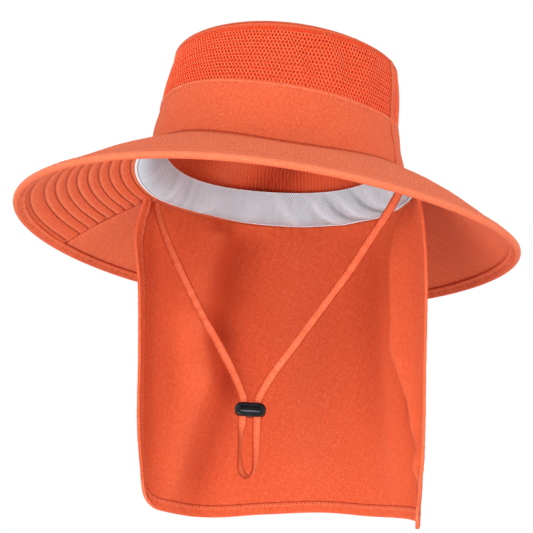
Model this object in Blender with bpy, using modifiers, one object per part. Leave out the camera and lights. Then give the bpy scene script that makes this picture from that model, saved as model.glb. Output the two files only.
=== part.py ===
"""Sun hat with a wide drooping brim, a net band in the crown, a neck flap and a chin strap.

Metres, +Z up. The origin is the middle of the head opening, level with the seam of crown and brim.
The wearer faces -Y. A turn goes round the hat in degrees: 0 at the front, 90 over the wearer's left
ear at +X, 180 at the back and 270 over the right ear.
"""
import math

import bpy
import bmesh
from mathutils import Matrix, Vector

# Crown, from the brim seam up
CROWN_BASE_HALF_WIDTH = 0.0800
CROWN_BASE_HALF_DEPTH = 0.0911
BAND_TOP_HALF_WIDTH = 0.0744
BAND_TOP_HALF_DEPTH = 0.0847
CROWN_TOP_HALF_WIDTH = 0.0699
CROWN_TOP_HALF_DEPTH = 0.0796
BAND_HEIGHT = 0.0359
MESH_HEIGHT = 0.0360
DOME_HEIGHT = 0.0105
CROWN_CLOTH = 0.0012
CROWN_LEAN = 0.022
NET_SWELL = 0.0010
SIDE_SEAM_TURN = 90.0
BASE_EGG = -0.012

# Brim
BRIM_WIDTH = 0.0886
BRIM_DROOP = 27.6
BRIM_ARCH = 0.0040
BRIM_CLOTH = 0.0016
PANEL_SEAM_TURN = 98.0
BINDING_WIDTH = 0.0070
BINDING_CLOTH = 0.0008

# Sweatband
SWEATBAND_CLOTH = 0.0012
SWEATBAND_SPREAD = 0.0085
SWEATBAND_RISE = 0.0140
SWEATBAND_LEAN = 0.0065

# Neck flap
FLAP_DROP = 0.2016
FLAP_CLOTH = 0.0011
FLAP_SEAM_CLEARANCE = 0.0027
FLAP_FRONT_TURN = 94.0
FLAP_SWING = 0.0180
FLAP_SWAY = 0.0140

# Chin strap and cord lock
STRAP_WIDTH = 0.0055
STRAP_CLOTH = 0.0014
LOCK_LENGTH = 0.0196
LOCK_HEIGHT = 0.0086
LOCK_DEPTH = 0.0080
LOCK_ROUND = 0.0010
LOCK_TURN = 21.0
SLOT_CLEARANCE = 0.0004

# Kept between pieces that touch
GAP = 0.0003

# How the sewn brim seam and the droop of the brim wander round the hat
SEAM_WAVES = (
    # times round, cosine m, sine m
    (2, 0.0012, -0.0027),
    (3, 0.0005, -0.0019),
)
DROOP_WAVES = (
    # times round, cosine degrees, sine degrees
    (1, -0.3, 4.7),
    (2, 1.0, 0.6),
    (3, -0.2, -1.8),
)

# The flap's hang, one row for each place along it. drop is a share of FLAP_DROP. The other columns
# are how far the cloth stands out from its seam, as shares of FLAP_SWAY, at levels down the flap.
FLAP_LEVELS = (0.0, 0.12, 0.30, 0.55, 0.80, 1.0)
FLAP_TURNS = (
    # side, drop, top, 0.12, 0.30, 0.55, 0.80, hem
    (0.00, 1.080, 0.0, 0.38, 0.58, 0.58, 0.55, 0.30),
    (0.07, 1.070, 0.0, -0.30, -0.20, 0.00, 0.45, 0.15),
    (0.14, 1.035, 0.0, -1.05, -1.20, -0.80, 0.40, 0.25),
    (0.24, 1.000, 0.0, -0.25, -0.20, 0.05, 0.30, 0.20),
    (0.36, 0.972, 0.0, 0.00, -0.05, -0.10, 0.00, 0.05),
    (0.50, 0.947, 0.0, 0.05, 0.20, 0.20, 0.10, 0.10),
    (0.64, 0.960, 0.0, 0.10, 0.25, 0.05, -0.15, -0.10),
    (0.76, 0.982, 0.0, 0.05, -0.20, -0.35, -0.20, 0.00),
    (0.88, 0.990, 0.0, 0.22, 0.15, 0.15, 0.05, -0.10),
    (1.00, 0.978, 0.26, 0.68, 0.44, 0.32, 0.12, -0.30),
)

# The chin strap's route by hand, x, y, z and the twist of its flat face in degrees
STRAP_ROUTE = (
    (-0.0888, 0.0172, -0.0086, -64.0),
    (-0.0876, 0.0168, -0.0150, -60.0),
    (-0.0812, 0.0162, -0.0308, -30.0),
    (-0.0714, 0.0154, -0.0502, -6.0),
    (-0.0603, 0.0145, -0.0698, 0.0),
    (-0.0485, 0.0137, -0.0900, 0.0),
    (-0.0370, 0.0130, -0.1075, -2.0),
    (-0.0273, 0.0124, -0.1238, -16.0),
    (-0.0206, 0.0120, -0.1368, -40.0),
    (-0.0179, 0.0119, -0.1435, -52.0),
    (-0.0177, 0.0119, -0.1500, -53.0),
    (-0.0179, 0.0119, -0.1565, -52.0),
    (-0.0190, 0.0128, -0.1670, 0.0),
    (-0.0194, 0.0142, -0.1790, 70.0),
    (-0.0180, 0.0149, -0.1880, 85.0),
    (-0.0140, 0.0152, -0.1925, 90.0),
    (-0.0100, 0.0152, -0.1885, 80.0),
    (-0.0088, 0.0151, -0.1790, 40.0),
    (-0.0091, 0.0151, -0.1670, -6.0),
    (-0.0092, 0.0151, -0.1565, -16.0),
    (-0.0093, 0.0151, -0.1500, -17.0),
    (-0.0092, 0.0151, -0.1440, -16.0),
    (-0.0066, 0.0144, -0.1378, -12.0),
    (0.0012, 0.0127, -0.1265, -5.0),
    (0.0124, 0.0104, -0.1133, 0.0),
    (0.0256, 0.0080, -0.0971, 0.0),
    (0.0387, 0.0058, -0.0808, 0.0),
    (0.0518, 0.0038, -0.0642, 0.0),
    (0.0645, 0.0014, -0.0460, 0.0),
    (0.0768, -0.0012, -0.0288, 0.0),
    (0.0842, -0.0030, -0.0165, 0.0),
    (0.0872, -0.0045, -0.0088, 0.0),
)
STRAP_LOCK_POINTS = (10, 20)

COLOURS = {
    "cloth": (0.80, 0.13, 0.05, 1.0),
    "net": (0.83, 0.09, 0.02, 1.0),
    "sweatband": (0.68, 0.67, 0.70, 1.0),
    "plastic": (0.01, 0.011, 0.013, 1.0),
}

ROUND_COLUMNS = 60
RIM_COLUMNS = 72
STRAP_STEPS = 78


def wander(waves, turn):
    """Sum of a few cosine and sine waves at a turn."""
    angle = math.radians(turn)
    return sum(c * math.cos(n * angle) + s * math.sin(n * angle) for n, c, s in waves)


def ellipse(half_width, half_depth, turn):
    angle = math.radians(turn)
    return Vector((half_width * math.sin(angle), -half_depth * math.cos(angle), 0.0))


def outward(turn):
    """Level direction that points away from the head at a turn."""
    angle = math.radians(turn)
    across = Vector((math.sin(angle) / CROWN_BASE_HALF_WIDTH, -math.cos(angle) / CROWN_BASE_HALF_DEPTH, 0.0))
    return across.normalized()


def seam_height(turn):
    """Height of the seam of crown and brim, which isn't quite level."""
    return wander(SEAM_WAVES, turn)


def base_ring(turn, egg_share=1.0):
    egg = 1.0 + BASE_EGG * egg_share * math.sin(3.0 * math.radians(turn))
    return ellipse(CROWN_BASE_HALF_WIDTH, CROWN_BASE_HALF_DEPTH, turn) * egg


def crown_point(height, turn):
    """Point on the crown's wall at a height above the brim seam."""
    crown_height = BAND_HEIGHT + MESH_HEIGHT
    if height <= BAND_HEIGHT:
        share = height / BAND_HEIGHT
        low, high = base_ring(turn), ellipse(BAND_TOP_HALF_WIDTH, BAND_TOP_HALF_DEPTH, turn)
        swell = 0.0
    else:
        share = (height - BAND_HEIGHT) / MESH_HEIGHT
        low = ellipse(BAND_TOP_HALF_WIDTH, BAND_TOP_HALF_DEPTH, turn)
        high = ellipse(CROWN_TOP_HALF_WIDTH, CROWN_TOP_HALF_DEPTH, turn)
        swell = NET_SWELL * math.sin(math.pi * share)
    point = low.lerp(high, share) + outward(turn) * swell
    point.x += CROWN_LEAN * height
    point.z = height + seam_height(turn) * max(0.0, 1.0 - height / crown_height)
    return point


def brim_point(share, turn, lift=0.0):
    """Point on the middle of the brim: share 0 at the crown, 1 at the rim, raised square to it by lift."""
    droop = math.radians(BRIM_DROOP + wander(DROOP_WAVES, turn))
    reach = BRIM_WIDTH * math.cos(droop)
    fall = BRIM_WIDTH * math.sin(droop)
    away = outward(turn)
    point = base_ring(turn, max(0.0, 1.0 - share)) + away * (reach * share)
    point.z = seam_height(turn) - fall * share + BRIM_ARCH * math.sin(math.pi * share)
    slope = (-fall + BRIM_ARCH * math.pi * math.cos(math.pi * share)) / reach
    normal = (Vector((0.0, 0.0, 1.0)) - away * slope).normalized()
    return point + normal * lift


def brim_share(offset, turn):
    """Share across the brim that lies a level offset out from the crown's base."""
    droop = math.radians(BRIM_DROOP + wander(DROOP_WAVES, turn))
    return offset / (BRIM_WIDTH * math.cos(droop))


def below_brim(offset, turn, drop):
    """Point under the brim, a level offset out from the crown's base and drop below its lower face."""
    return brim_point(brim_share(offset, turn), turn, -BRIM_CLOTH / 2.0 - drop)


def smooth(places, values, place):
    """Smooth curve through values at uneven places."""
    count = len(places)
    first = 0
    while first < count - 2 and place > places[first + 1]:
        first += 1
    span = places[first + 1] - places[first]
    t = (place - places[first]) / span

    def slope(index):
        before, after = max(index - 1, 0), min(index + 1, count - 1)
        return (values[after] - values[before]) / (places[after] - places[before]) * span

    a, b, ma, mb = values[first], values[first + 1], slope(first), slope(first + 1)
    return (a * (2 * t ** 3 - 3 * t * t + 1) + ma * (t ** 3 - 2 * t * t + t)
            + b * (3 * t * t - 2 * t ** 3) + mb * (t ** 3 - t * t))


def flap_point(side, down):
    """Point on the neck flap: side 0 at its edge by the left ear, 1 at the right ear, down 0 to 1."""
    turn = FLAP_FRONT_TURN + (360.0 - 2.0 * FLAP_FRONT_TURN) * side
    sides, drops, *sways = zip(*FLAP_TURNS)
    levels = [FLAP_SWAY * smooth(sides, column, side) for column in sways]
    top = below_brim(SWEATBAND_SPREAD + FLAP_SEAM_CLEARANCE + levels[0], turn, GAP + FLAP_CLOTH / 2.0)
    point = top + outward(turn) * (smooth(FLAP_LEVELS, levels, down) - levels[0])
    point.y += FLAP_SWING * down
    point.z -= FLAP_DROP * smooth(sides, drops, side) * down
    return point


def make_material(name, colour, roughness):
    material = bpy.data.materials.new(name)
    material.use_nodes = True
    shader = material.node_tree.nodes["Principled BSDF"]
    shader.inputs["Base Color"].default_value = colour
    shader.inputs["Roughness"].default_value = roughness
    shader.inputs["Metallic"].default_value = 0.0
    return material


def finish(part, collection, colour, roughness):
    """Name the piece's material after it, put it in the collection and shade it smooth."""
    part.data.materials.clear()
    part.data.materials.append(make_material(part.name, COLOURS[colour], roughness))
    for other in list(part.users_collection):
        other.objects.unlink(part)
    collection.objects.link(part)
    if part.type == "MESH":
        part.data.shade_smooth()
        part.data.set_sharp_from_angle(angle=math.radians(40.0))
    return part


def sheet(name, rows, thickness, closed=False, peak=None):
    """Cloth sheet through rows of points, with Solidify for its thickness on both sides."""
    mesh = bpy.data.meshes.new(name)
    bm = bmesh.new()
    lines = [[bm.verts.new(point) for point in row] for row in rows]
    columns = len(rows[0])
    for lower, upper in zip(lines, lines[1:]):
        for column in range(columns if closed else columns - 1):
            after = (column + 1) % columns
            bm.faces.new((lower[column], lower[after], upper[after], upper[column]))
    if peak is not None:
        centre = bm.verts.new(peak)
        for column in range(columns):
            bm.faces.new((lines[-1][column], lines[-1][(column + 1) % columns], centre))
    bm.to_mesh(mesh)
    bm.free()
    part = bpy.data.objects.new(name, mesh)
    wall = part.modifiers.new("Cloth", "SOLIDIFY")
    wall.thickness = thickness
    wall.offset = 0.0
    wall.use_even_offset = True
    return part


def spread(start, end, count):
    return [start + (end - start) * index / (count - 1) for index in range(count)]


def around(count):
    return [360.0 * index / count for index in range(count)]


def panel_turns(first, last, count, half_width):
    """Turns across a panel that stops half a gap short of a seam at each end."""
    short = math.degrees(GAP / 2.0 / half_width)
    return spread(first + short, last - short, count)


def build_crown(collection):
    wall = CROWN_CLOTH
    seam = GAP / 2.0
    low_height = -BRIM_CLOTH / 2.0
    halves = (("front", -SIDE_SEAM_TURN, SIDE_SEAM_TURN), ("back", SIDE_SEAM_TURN, 360.0 - SIDE_SEAM_TURN))
    for side, first, last in halves:
        turns = panel_turns(first, last, ROUND_COLUMNS // 2, CROWN_TOP_HALF_WIDTH)
        heights = spread(low_height, BAND_HEIGHT - seam, 4)
        rows = [[crown_point(height, turn) for turn in turns] for height in heights]
        finish(sheet("crown_band_" + side, rows, wall), collection, "cloth", 0.85)
        heights = spread(BAND_HEIGHT + seam, BAND_HEIGHT + MESH_HEIGHT - seam, 4)
        rows = [[crown_point(height, turn) for turn in turns] for height in heights]
        finish(sheet("crown_mesh_" + side, rows, wall), collection, "net", 0.8)

    top = BAND_HEIGHT + MESH_HEIGHT
    rows = []
    for share in spread(0.0, 1.0, 5):
        # The rows lie closer at the edge, where the dome stands up off the net
        angle = math.radians(80.0 * share ** 1.6)
        row = []
        for turn in around(ROUND_COLUMNS * 2 // 3):
            point = ellipse(CROWN_TOP_HALF_WIDTH, CROWN_TOP_HALF_DEPTH, turn) * math.cos(angle)
            point.x += CROWN_LEAN * top
            point.z = top + seam + (DOME_HEIGHT - seam) * math.sin(angle)
            row.append(point)
        rows.append(row)
    peak = Vector((CROWN_LEAN * top, 0.0, top + DOME_HEIGHT))
    finish(sheet("crown_top", rows, wall, closed=True, peak=peak), collection, "cloth", 0.85)


def build_brim(collection):
    start = CROWN_CLOTH / 2.0 + GAP + BRIM_CLOTH / 2.0 * math.sin(math.radians(BRIM_DROOP))
    end = 1.0 - (BINDING_CLOTH + GAP) / BRIM_WIDTH
    panels = (
        ("brim_front", -PANEL_SEAM_TURN, PANEL_SEAM_TURN, 44),
        ("brim_back", PANEL_SEAM_TURN, 360.0 - PANEL_SEAM_TURN, 36),
    )
    for name, first, last, count in panels:
        turns = panel_turns(first, last, count, CROWN_BASE_HALF_WIDTH)
        rows = []
        for step in spread(0.0, 1.0, 6):
            rows.append([
                brim_point(brim_share(start, turn) * (1.0 - step) + end * step, turn) for turn in turns
            ])
        finish(sheet(name, rows, BRIM_CLOTH), collection, "cloth", 0.85)

    # The edge strip is a U round the rim: middle line of its cloth as steps back from the rim and up
    half = BRIM_CLOTH / 2.0 + GAP + BINDING_CLOTH / 2.0
    back = BINDING_WIDTH / BRIM_WIDTH
    fold = (half - BINDING_CLOTH / 2.0) / BRIM_WIDTH
    outline = (
        (1.0 - back, half), (1.0 - fold, half), (1.0, half * 0.45),
        (1.0, -half * 0.45), (1.0 - fold, -half), (1.0 - back, -half),
    )
    rows = [[brim_point(share, turn, lift) for turn in around(RIM_COLUMNS)] for share, lift in outline]
    finish(sheet("brim_binding", rows, BINDING_CLOTH, closed=True), collection, "cloth", 0.85)


def sweatband_rows(turn):
    """Middle line of the sweatband at a turn, from its rolled lower edge up to its free top edge."""
    under = GAP + SWEATBAND_CLOTH / 2.0
    corner = -(CROWN_CLOTH + SWEATBAND_CLOTH) / 2.0 - GAP
    points = [below_brim(SWEATBAND_SPREAD * share, turn, under) for share in (1.0, 0.6, 0.25)]
    points.append(base_ring(turn) + outward(turn) * corner)
    points[-1].z = seam_height(turn) - BRIM_CLOTH / 2.0 - under
    for share in (0.25, 0.6, 1.0):
        point = base_ring(turn) + outward(turn) * (corner - SWEATBAND_LEAN * share)
        point.z = seam_height(turn) + SWEATBAND_RISE * share
        points.append(point)
    return points


def build_sweatband(collection):
    lines = [sweatband_rows(turn) for turn in around(ROUND_COLUMNS)]
    rows = [[line[level] for line in lines] for level in range(len(lines[0]))]
    finish(sheet("sweatband", rows, SWEATBAND_CLOTH, closed=True), collection, "sweatband", 0.9)


def build_flap(collection):
    rows = [[flap_point(side, down) for side in spread(0.0, 1.0, 44)] for down in spread(0.0, 1.0, 12)]
    finish(sheet("neck_flap", rows, FLAP_CLOTH), collection, "cloth", 0.85)


def build_strap(collection):
    curve = bpy.data.curves.new("chin_strap", "CURVE")
    curve.dimensions = "3D"
    curve.twist_mode = "MINIMUM"
    curve.extrude = (STRAP_WIDTH - STRAP_CLOTH) / 2.0
    curve.bevel_depth = STRAP_CLOTH / 2.0
    curve.bevel_resolution = 1
    curve.use_fill_caps = True
    spline = curve.splines.new("POLY")
    numbers = list(range(len(STRAP_ROUTE)))
    columns = list(zip(*STRAP_ROUTE))
    spline.points.add(STRAP_STEPS - 1)
    for point, place in zip(spline.points, spread(0.0, numbers[-1], STRAP_STEPS)):
        x, y, z, twist = (smooth(numbers, column, place) for column in columns)
        point.co = (x, y, z, 1.0)
        point.tilt = math.radians(twist)
    part = bpy.data.objects.new("chin_strap", curve)
    return finish(part, collection, "cloth", 0.85)


def mesh_from_outline(name, points, half_depth):
    """Flat outline in X and Z, extruded along Y to a closed mesh."""
    curve = bpy.data.curves.new(name, "CURVE")
    curve.dimensions = "2D"
    curve.fill_mode = "BOTH"
    curve.extrude = half_depth
    spline = curve.splines.new("POLY")
    spline.points.add(len(points) - 1)
    for point, (x, z) in zip(spline.points, points):
        point.co = (x, z, 0.0, 1.0)
    spline.use_cyclic_u = True
    source = bpy.data.objects.new(name, curve)
    bpy.context.scene.collection.objects.link(source)
    mesh = bpy.data.meshes.new_from_object(source.evaluated_get(bpy.context.evaluated_depsgraph_get()))
    bpy.data.objects.remove(source)
    bm = bmesh.new()
    bm.from_mesh(mesh)
    bmesh.ops.remove_doubles(bm, verts=bm.verts, dist=0.00001)
    bmesh.ops.rotate(bm, verts=bm.verts, matrix=Matrix.Rotation(math.radians(90.0), 3, "X"))
    bm.to_mesh(mesh)
    bm.free()
    return bpy.data.objects.new(name, mesh)


def build_lock(collection, cutters):
    left, right = (Vector(STRAP_ROUTE[index][:3]) for index in STRAP_LOCK_POINTS)
    centre = (left + right) / 2.0
    radius = LOCK_HEIGHT / 2.0
    straight = LOCK_LENGTH / 2.0 - radius
    outline = []
    for side, first in ((1, -90.0), (-1, 90.0)):
        for angle in spread(first, first + 180.0, 9):
            x = side * straight + radius * math.cos(math.radians(angle))
            outline.append((x, radius * math.sin(math.radians(angle))))
    lock = mesh_from_outline("cord_lock", outline, LOCK_DEPTH / 2.0)
    lock.location = centre
    lock.rotation_euler.z = math.radians(LOCK_TURN)
    edges = lock.modifiers.new("Rounded edges", "BEVEL")
    edges.width = LOCK_ROUND
    edges.segments = 2
    for name, place in (("left_slot", left), ("right_slot", right)):
        bm = bmesh.new()
        bmesh.ops.create_cube(bm, size=1.0)
        width = STRAP_WIDTH + 2.0 * SLOT_CLEARANCE
        depth = STRAP_CLOTH + 2.0 * SLOT_CLEARANCE
        bmesh.ops.scale(bm, verts=bm.verts, vec=(width, depth, LOCK_HEIGHT * 2.0))
        mesh = bpy.data.meshes.new(name)
        bm.to_mesh(mesh)
        bm.free()
        cutter = bpy.data.objects.new(name, mesh)
        cutter.location = place
        cutter.rotation_euler.z = math.radians(LOCK_TURN)
        cutter.hide_render = True
        cutter.display_type = "WIRE"
        cutters.objects.link(cutter)
        slot = lock.modifiers.new(name, "BOOLEAN")
        slot.operation = "DIFFERENCE"
        slot.object = cutter
    return finish(lock, collection, "plastic", 0.25)


def main():
    for thing in list(bpy.data.objects):
        bpy.data.objects.remove(thing)
    collection = bpy.data.collections.new("flap_sun_hat")
    cutters = bpy.data.collections.new("cutters")
    bpy.context.scene.collection.children.link(collection)
    bpy.context.scene.collection.children.link(cutters)
    build_crown(collection)
    build_brim(collection)
    build_sweatband(collection)
    build_flap(collection)
    build_strap(collection)
    build_lock(collection, cutters)


main()
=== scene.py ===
"""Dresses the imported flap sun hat: sewn cloth, net, quilting, stitches, chin strap and cord lock.

Metres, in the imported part's frame: +Z up, the wearer faces -Y, and turns go round in degrees, 0 at
the front and 90 at +X. The shapes follow the part's own to within a few millimetres, with finer cloth
on them.
"""
import math

import bpy
import numpy as np
from mathutils import Matrix, Vector


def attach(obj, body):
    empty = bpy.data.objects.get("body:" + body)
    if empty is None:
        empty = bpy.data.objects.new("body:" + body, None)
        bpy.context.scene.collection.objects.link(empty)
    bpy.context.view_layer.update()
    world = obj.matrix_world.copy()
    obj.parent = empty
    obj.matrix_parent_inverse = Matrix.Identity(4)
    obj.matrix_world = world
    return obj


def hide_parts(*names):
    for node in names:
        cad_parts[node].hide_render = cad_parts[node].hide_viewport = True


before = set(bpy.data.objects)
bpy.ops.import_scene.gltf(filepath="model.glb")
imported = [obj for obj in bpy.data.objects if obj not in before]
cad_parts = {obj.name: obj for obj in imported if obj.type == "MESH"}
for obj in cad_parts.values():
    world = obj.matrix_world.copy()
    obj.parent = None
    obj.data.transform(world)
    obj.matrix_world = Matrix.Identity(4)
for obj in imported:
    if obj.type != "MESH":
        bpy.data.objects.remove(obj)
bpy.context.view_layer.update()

bl_info = {
    "name": "Flap Sun Hat",
    "version": (1, 0, 0),
    "blender": (4, 5, 0),
    "location": "3D View > Sidebar > Sun Hat",
    "description": "Dresses a packed sun hat with sewn cloth, net, stitches and a cord lock",
    "category": "Object",
}

# Crown, from the brim seam up
CROWN_BASE = (0.0800, 0.0911)
BAND_TOP = (0.0744, 0.0847)
CROWN_TOP = (0.0699, 0.0796)
BAND_HEIGHT = 0.0359
MESH_HEIGHT = 0.0360
CROWN_HEIGHT = BAND_HEIGHT + MESH_HEIGHT
DOME_HEIGHT = 0.0105
CROWN_CLOTH = 0.0012
CROWN_LEAN = 0.022
SHOULDER_LEAN = 0.0018
DOME_TILT = 0.0016
NET_SWELL = 0.0010
NET_CLOTH = 0.00076
HOLE_SLANT = 32.0
TAPE_CLOTH = 0.0009
SEAM_STRIP_LIFT = 0.0008
BAND_ROW_DROP = 0.0024
SIDE_SEAM_TURN = 90.0
BASE_EGG = -0.012

# Brim
BRIM_WIDTH = 0.0886
BRIM_DROOP = 27.6
BRIM_ARCH = 0.0040
BRIM_CLOTH = 0.0016
BRIM_FLATTER = 0.65
BRIM_FLAT_TURN = 352.0
BRIM_FLAT_SPREAD = 56.0
FRONT_DIP = 0.0044
FRONT_DIP_TURN = 10.0
FRONT_DIP_SPREAD = 46.0
FRONT_DIP_REACH = 0.30
PANEL_SEAM_TURN = 98.0
BINDING_CLOTH = 0.0008
BINDING_GIRTH = 0.0155
BINDING_ROW = 0.075

# Sweatband
SWEATBAND_CLOTH = 0.0012
SWEATBAND_SPREAD = 0.0085
SWEATBAND_RISE = 0.0128
SWEATBAND_LEAN = 0.0065
SWEATBAND_GIRTH = 0.027
SWEATBAND_ROW = 0.095

# Neck flap
FLAP_WIDTH = 0.305
FLAP_DROP = 0.2016
FLAP_CLOTH = 0.0011
FLAP_SEAM_CLEARANCE = 0.0027
FLAP_FRONT_TURN = 94.0
FLAP_SWING = 0.0180
FLAP_SWAY = 0.0140
HEM_ROW_INSET = 0.0011

# Chin strap and cord lock
STRAP_WIDTH = 0.0055
STRAP_CLOTH = 0.0014
# Stitch row, as a share of half the width
STRAP_ROW = -0.62
LOCK_LENGTH = 0.0196
LOCK_HEIGHT = 0.0086
LOCK_DEPTH = 0.0080
LOCK_TURN = 21.0
LOCK_EDGE = 0.0014
# Front slot: share of the lock's length, then depth and height in metres
LOCK_SLOT = (0.64, 0.0056, 0.0026)
LOCK_SLOT_RISE = 0.0007
LOCK_STRAP_CLEARANCE = 0.0008
LOCK_RIB_PITCH = 0.0015

GAP = 0.0003

# The seam between band and net off its level line
NET_LINE = (
    # turn, spread degrees, rise m
    (290.0, 35.0, 0.0014),
    (82.0, 36.0, -0.0044),
)
# Waves of the brim seam's height, and of the brim's droop
SEAM_WAVES = (
    # times round, cosine m, sine m
    (2, 0.0012, -0.0027),
    (3, 0.0005, -0.0019),
)
DROOP_WAVES = (
    # times round, cosine degrees, sine degrees
    (1, -0.3, 4.7),
    (2, 1.0, 0.6),
    (3, -0.2, -1.8),
)

# The flap's drop as a share of FLAP_DROP, and how far it sways away from the head at each level down
# it, as a share of FLAP_SWAY
FLAP_LEVELS = (0.0, 0.12, 0.30, 0.55, 0.80, 1.0)
FLAP_COLUMNS = (
    # side, drop, top, 0.12, 0.30, 0.55, 0.80, hem
    (0.00, 1.080, 0.0, 0.38, 0.58, 0.58, 0.55, 0.30),
    (0.07, 1.070, 0.0, -0.30, -0.20, 0.00, 0.28, 0.15),
    (0.14, 1.035, 0.0, -1.05, -1.20, -0.80, 0.28, 0.25),
    (0.24, 1.000, 0.0, -0.25, -0.20, 0.05, 0.30, 0.20),
    (0.36, 0.972, 0.0, 0.00, -0.05, -0.10, 0.00, 0.05),
    (0.50, 0.947, 0.0, 0.05, 0.20, 0.20, 0.10, 0.10),
    (0.64, 0.960, 0.0, 0.10, 0.25, 0.05, -0.15, -0.10),
    (0.76, 0.982, 0.0, 0.05, -0.20, -0.35, -0.20, 0.00),
    (0.88, 0.990, 0.0, 0.22, 0.15, 0.15, 0.05, -0.10),
    (1.00, 0.985, 0.26, 0.68, 0.44, 0.32, 0.26, -0.05),
)
# Folds of the flap, in its own shares: from where to where each runs, its width share and its height,
# which is away from the head where it is above 0
FLAP_FOLDS = (
    # side, down, to side, to down, width, height m
    (0.765, 0.02, 0.830, 0.35, 0.040, -0.0058),
    (0.830, 0.35, 0.815, 0.56, 0.040, -0.0056),
    (0.815, 0.56, 0.905, 1.00, 0.042, -0.0058),
    (0.680, 0.02, 0.735, 0.35, 0.045, 0.0062),
    (0.735, 0.35, 0.715, 0.56, 0.045, 0.0062),
    (0.715, 0.56, 0.810, 1.00, 0.045, 0.0056),
    (0.560, 0.20, 0.520, 0.90, 0.070, -0.0050),
    (0.400, 0.05, 0.360, 0.60, 0.050, 0.0042),
    (0.300, 0.40, 0.270, 1.00, 0.045, -0.0040),
    (0.940, 0.25, 0.945, 0.80, 0.028, 0.0020),
    (0.118, 0.02, 0.122, 0.46, 0.014, -0.0030),
    (0.122, 0.46, 0.088, 0.70, 0.014, -0.0034),
    (0.088, 0.70, 0.030, 0.86, 0.014, -0.0032),
    (0.168, 0.02, 0.170, 0.50, 0.028, 0.0085),
    (0.170, 0.50, 0.140, 0.70, 0.028, 0.0030),
    (0.050, 0.80, 0.062, 1.00, 0.014, -0.0030),
)
# The line down the flap, as down and side shares, where its front edge is folded back
FLAP_EDGE_FOLD = ((0.0, 0.135), (0.46, 0.138), (0.70, 0.096), (0.86, 0.040), (1.0, 0.0))
# Corners of the flap's hem are rounded over this width and height, at its sides 0 and 1
FLAP_CORNERS = ((0.0070, 0.0070), (0.0230, 0.0150))

# The chin strap's route as in the part, and the turn of its flat face from facing the front
STRAP_ROUTE = (
    # x, y, z, turn of the flat face in degrees
    (-0.0888, 0.0172, -0.0086, 66.0),
    (-0.0876, 0.0168, -0.0150, 62.0),
    (-0.0812, 0.0162, -0.0308, 44.0),
    (-0.0714, 0.0154, -0.0502, 24.0),
    (-0.0603, 0.0145, -0.0698, 14.0),
    (-0.0485, 0.0137, -0.0900, 12.0),
    (-0.0370, 0.0130, -0.1075, 16.0),
    (-0.0273, 0.0124, -0.1238, 26.0),
    (-0.0206, 0.0120, -0.1368, 34.0),
    (-0.0179, 0.0119, -0.1435, 23.0),
    (-0.0177, 0.0119, -0.1500, 21.0),
    (-0.0179, 0.0119, -0.1565, 24.0),
    (-0.0190, 0.0128, -0.1670, 84.0),
    (-0.0194, 0.0142, -0.1790, 92.0),
    (-0.0180, 0.0149, -0.1880, 60.0),
    (-0.0140, 0.0152, -0.1925, 62.0),
    (-0.0100, 0.0152, -0.1885, 84.0),
    (-0.0088, 0.0151, -0.1790, 118.0),
    (-0.0091, 0.0151, -0.1670, 138.0),
    (-0.0092, 0.0151, -0.1565, 156.0),
    (-0.0093, 0.0151, -0.1500, 159.0),
    (-0.0092, 0.0151, -0.1440, 157.0),
    (-0.0066, 0.0144, -0.1378, 138.0),
    (0.0012, 0.0127, -0.1265, 158.0),
    (0.0124, 0.0104, -0.1133, 170.0),
    (0.0256, 0.0080, -0.0971, 172.0),
    (0.0387, 0.0058, -0.0808, 170.0),
    (0.0518, 0.0038, -0.0642, 164.0),
    (0.0645, 0.0014, -0.0460, 154.0),
    (0.0768, -0.0012, -0.0288, 142.0),
    (0.0842, -0.0030, -0.0165, 134.0),
    (0.0872, -0.0045, -0.0088, 130.0),
)
STRAP_LOCK_POINTS = (10, 20)

# Hollows and pulls of the net
NET_DENTS = (
    # turn, height, lean degrees per metre, width degrees, height of the hollow, depth m
    (27.0, 0.055, -500.0, 3.5, 0.020, 0.0014),
    (35.0, 0.056, -500.0, 4.5, 0.020, -0.0020),
    (46.0, 0.060, -350.0, 4.0, 0.014, 0.0015),
    (56.0, 0.052, -300.0, 5.0, 0.016, -0.0016),
    (70.0, 0.058, 200.0, 5.0, 0.018, 0.0012),
    (-62.0, 0.054, 300.0, 6.0, 0.018, -0.0012),
    (150.0, 0.055, 200.0, 9.0, 0.020, -0.0014),
    (215.0, 0.056, -250.0, 8.0, 0.018, 0.0013),
)

# Broad folds of the sweatband
SWEATBAND_FOLDS = (
    # turn, lean degrees over its height, width degrees, height m
    (196.0, 12.0, 3.4, 0.0009),
    (178.0, 16.0, 3.0, 0.0014),
    (170.0, 16.0, 2.6, -0.0010),
    (161.0, 18.0, 3.2, 0.0016),
    (152.0, 18.0, 2.8, -0.0012),
    (143.0, 14.0, 3.6, 0.0012),
    (128.0, 8.0, 4.0, 0.0008),
    (214.0, -6.0, 4.0, 0.0007),
    (236.0, -10.0, 5.0, 0.0008),
    (262.0, -8.0, 4.0, 0.0006),
    (20.0, 10.0, 4.0, 0.0010),
    (318.0, -12.0, 4.0, 0.0009),
)

# Metres round each cloth for a degree of turn
TOP_ARC = 0.0013
NET_ARC = 0.00139
BAND_ARC = 0.00145
SWEATBAND_ARC = 0.00148
BRIM_ARC = 0.0022
BINDING_ARC = 0.0029

# Quilting rows of the front brim, metres in from the rim
QUILT_ROWS = (0.0097, 0.0193, 0.0265, 0.0337, 0.0408, 0.0480, 0.0551, 0.0622, 0.0694, 0.0765, 0.0836)

# The photograph's view, with its picture taken as 533 pixels square
VIEW_AZIMUTH = 21.0
VIEW_ELEVATION = -17.1
VIEW_ROLL = 3.2
VIEW_DISTANCE = 1.664
VIEW_SCALE = 1565.5
VIEW_ORIGIN_PIXEL = (275.84, 175.29)
PICTURE_SIZE = 533.0


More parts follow.
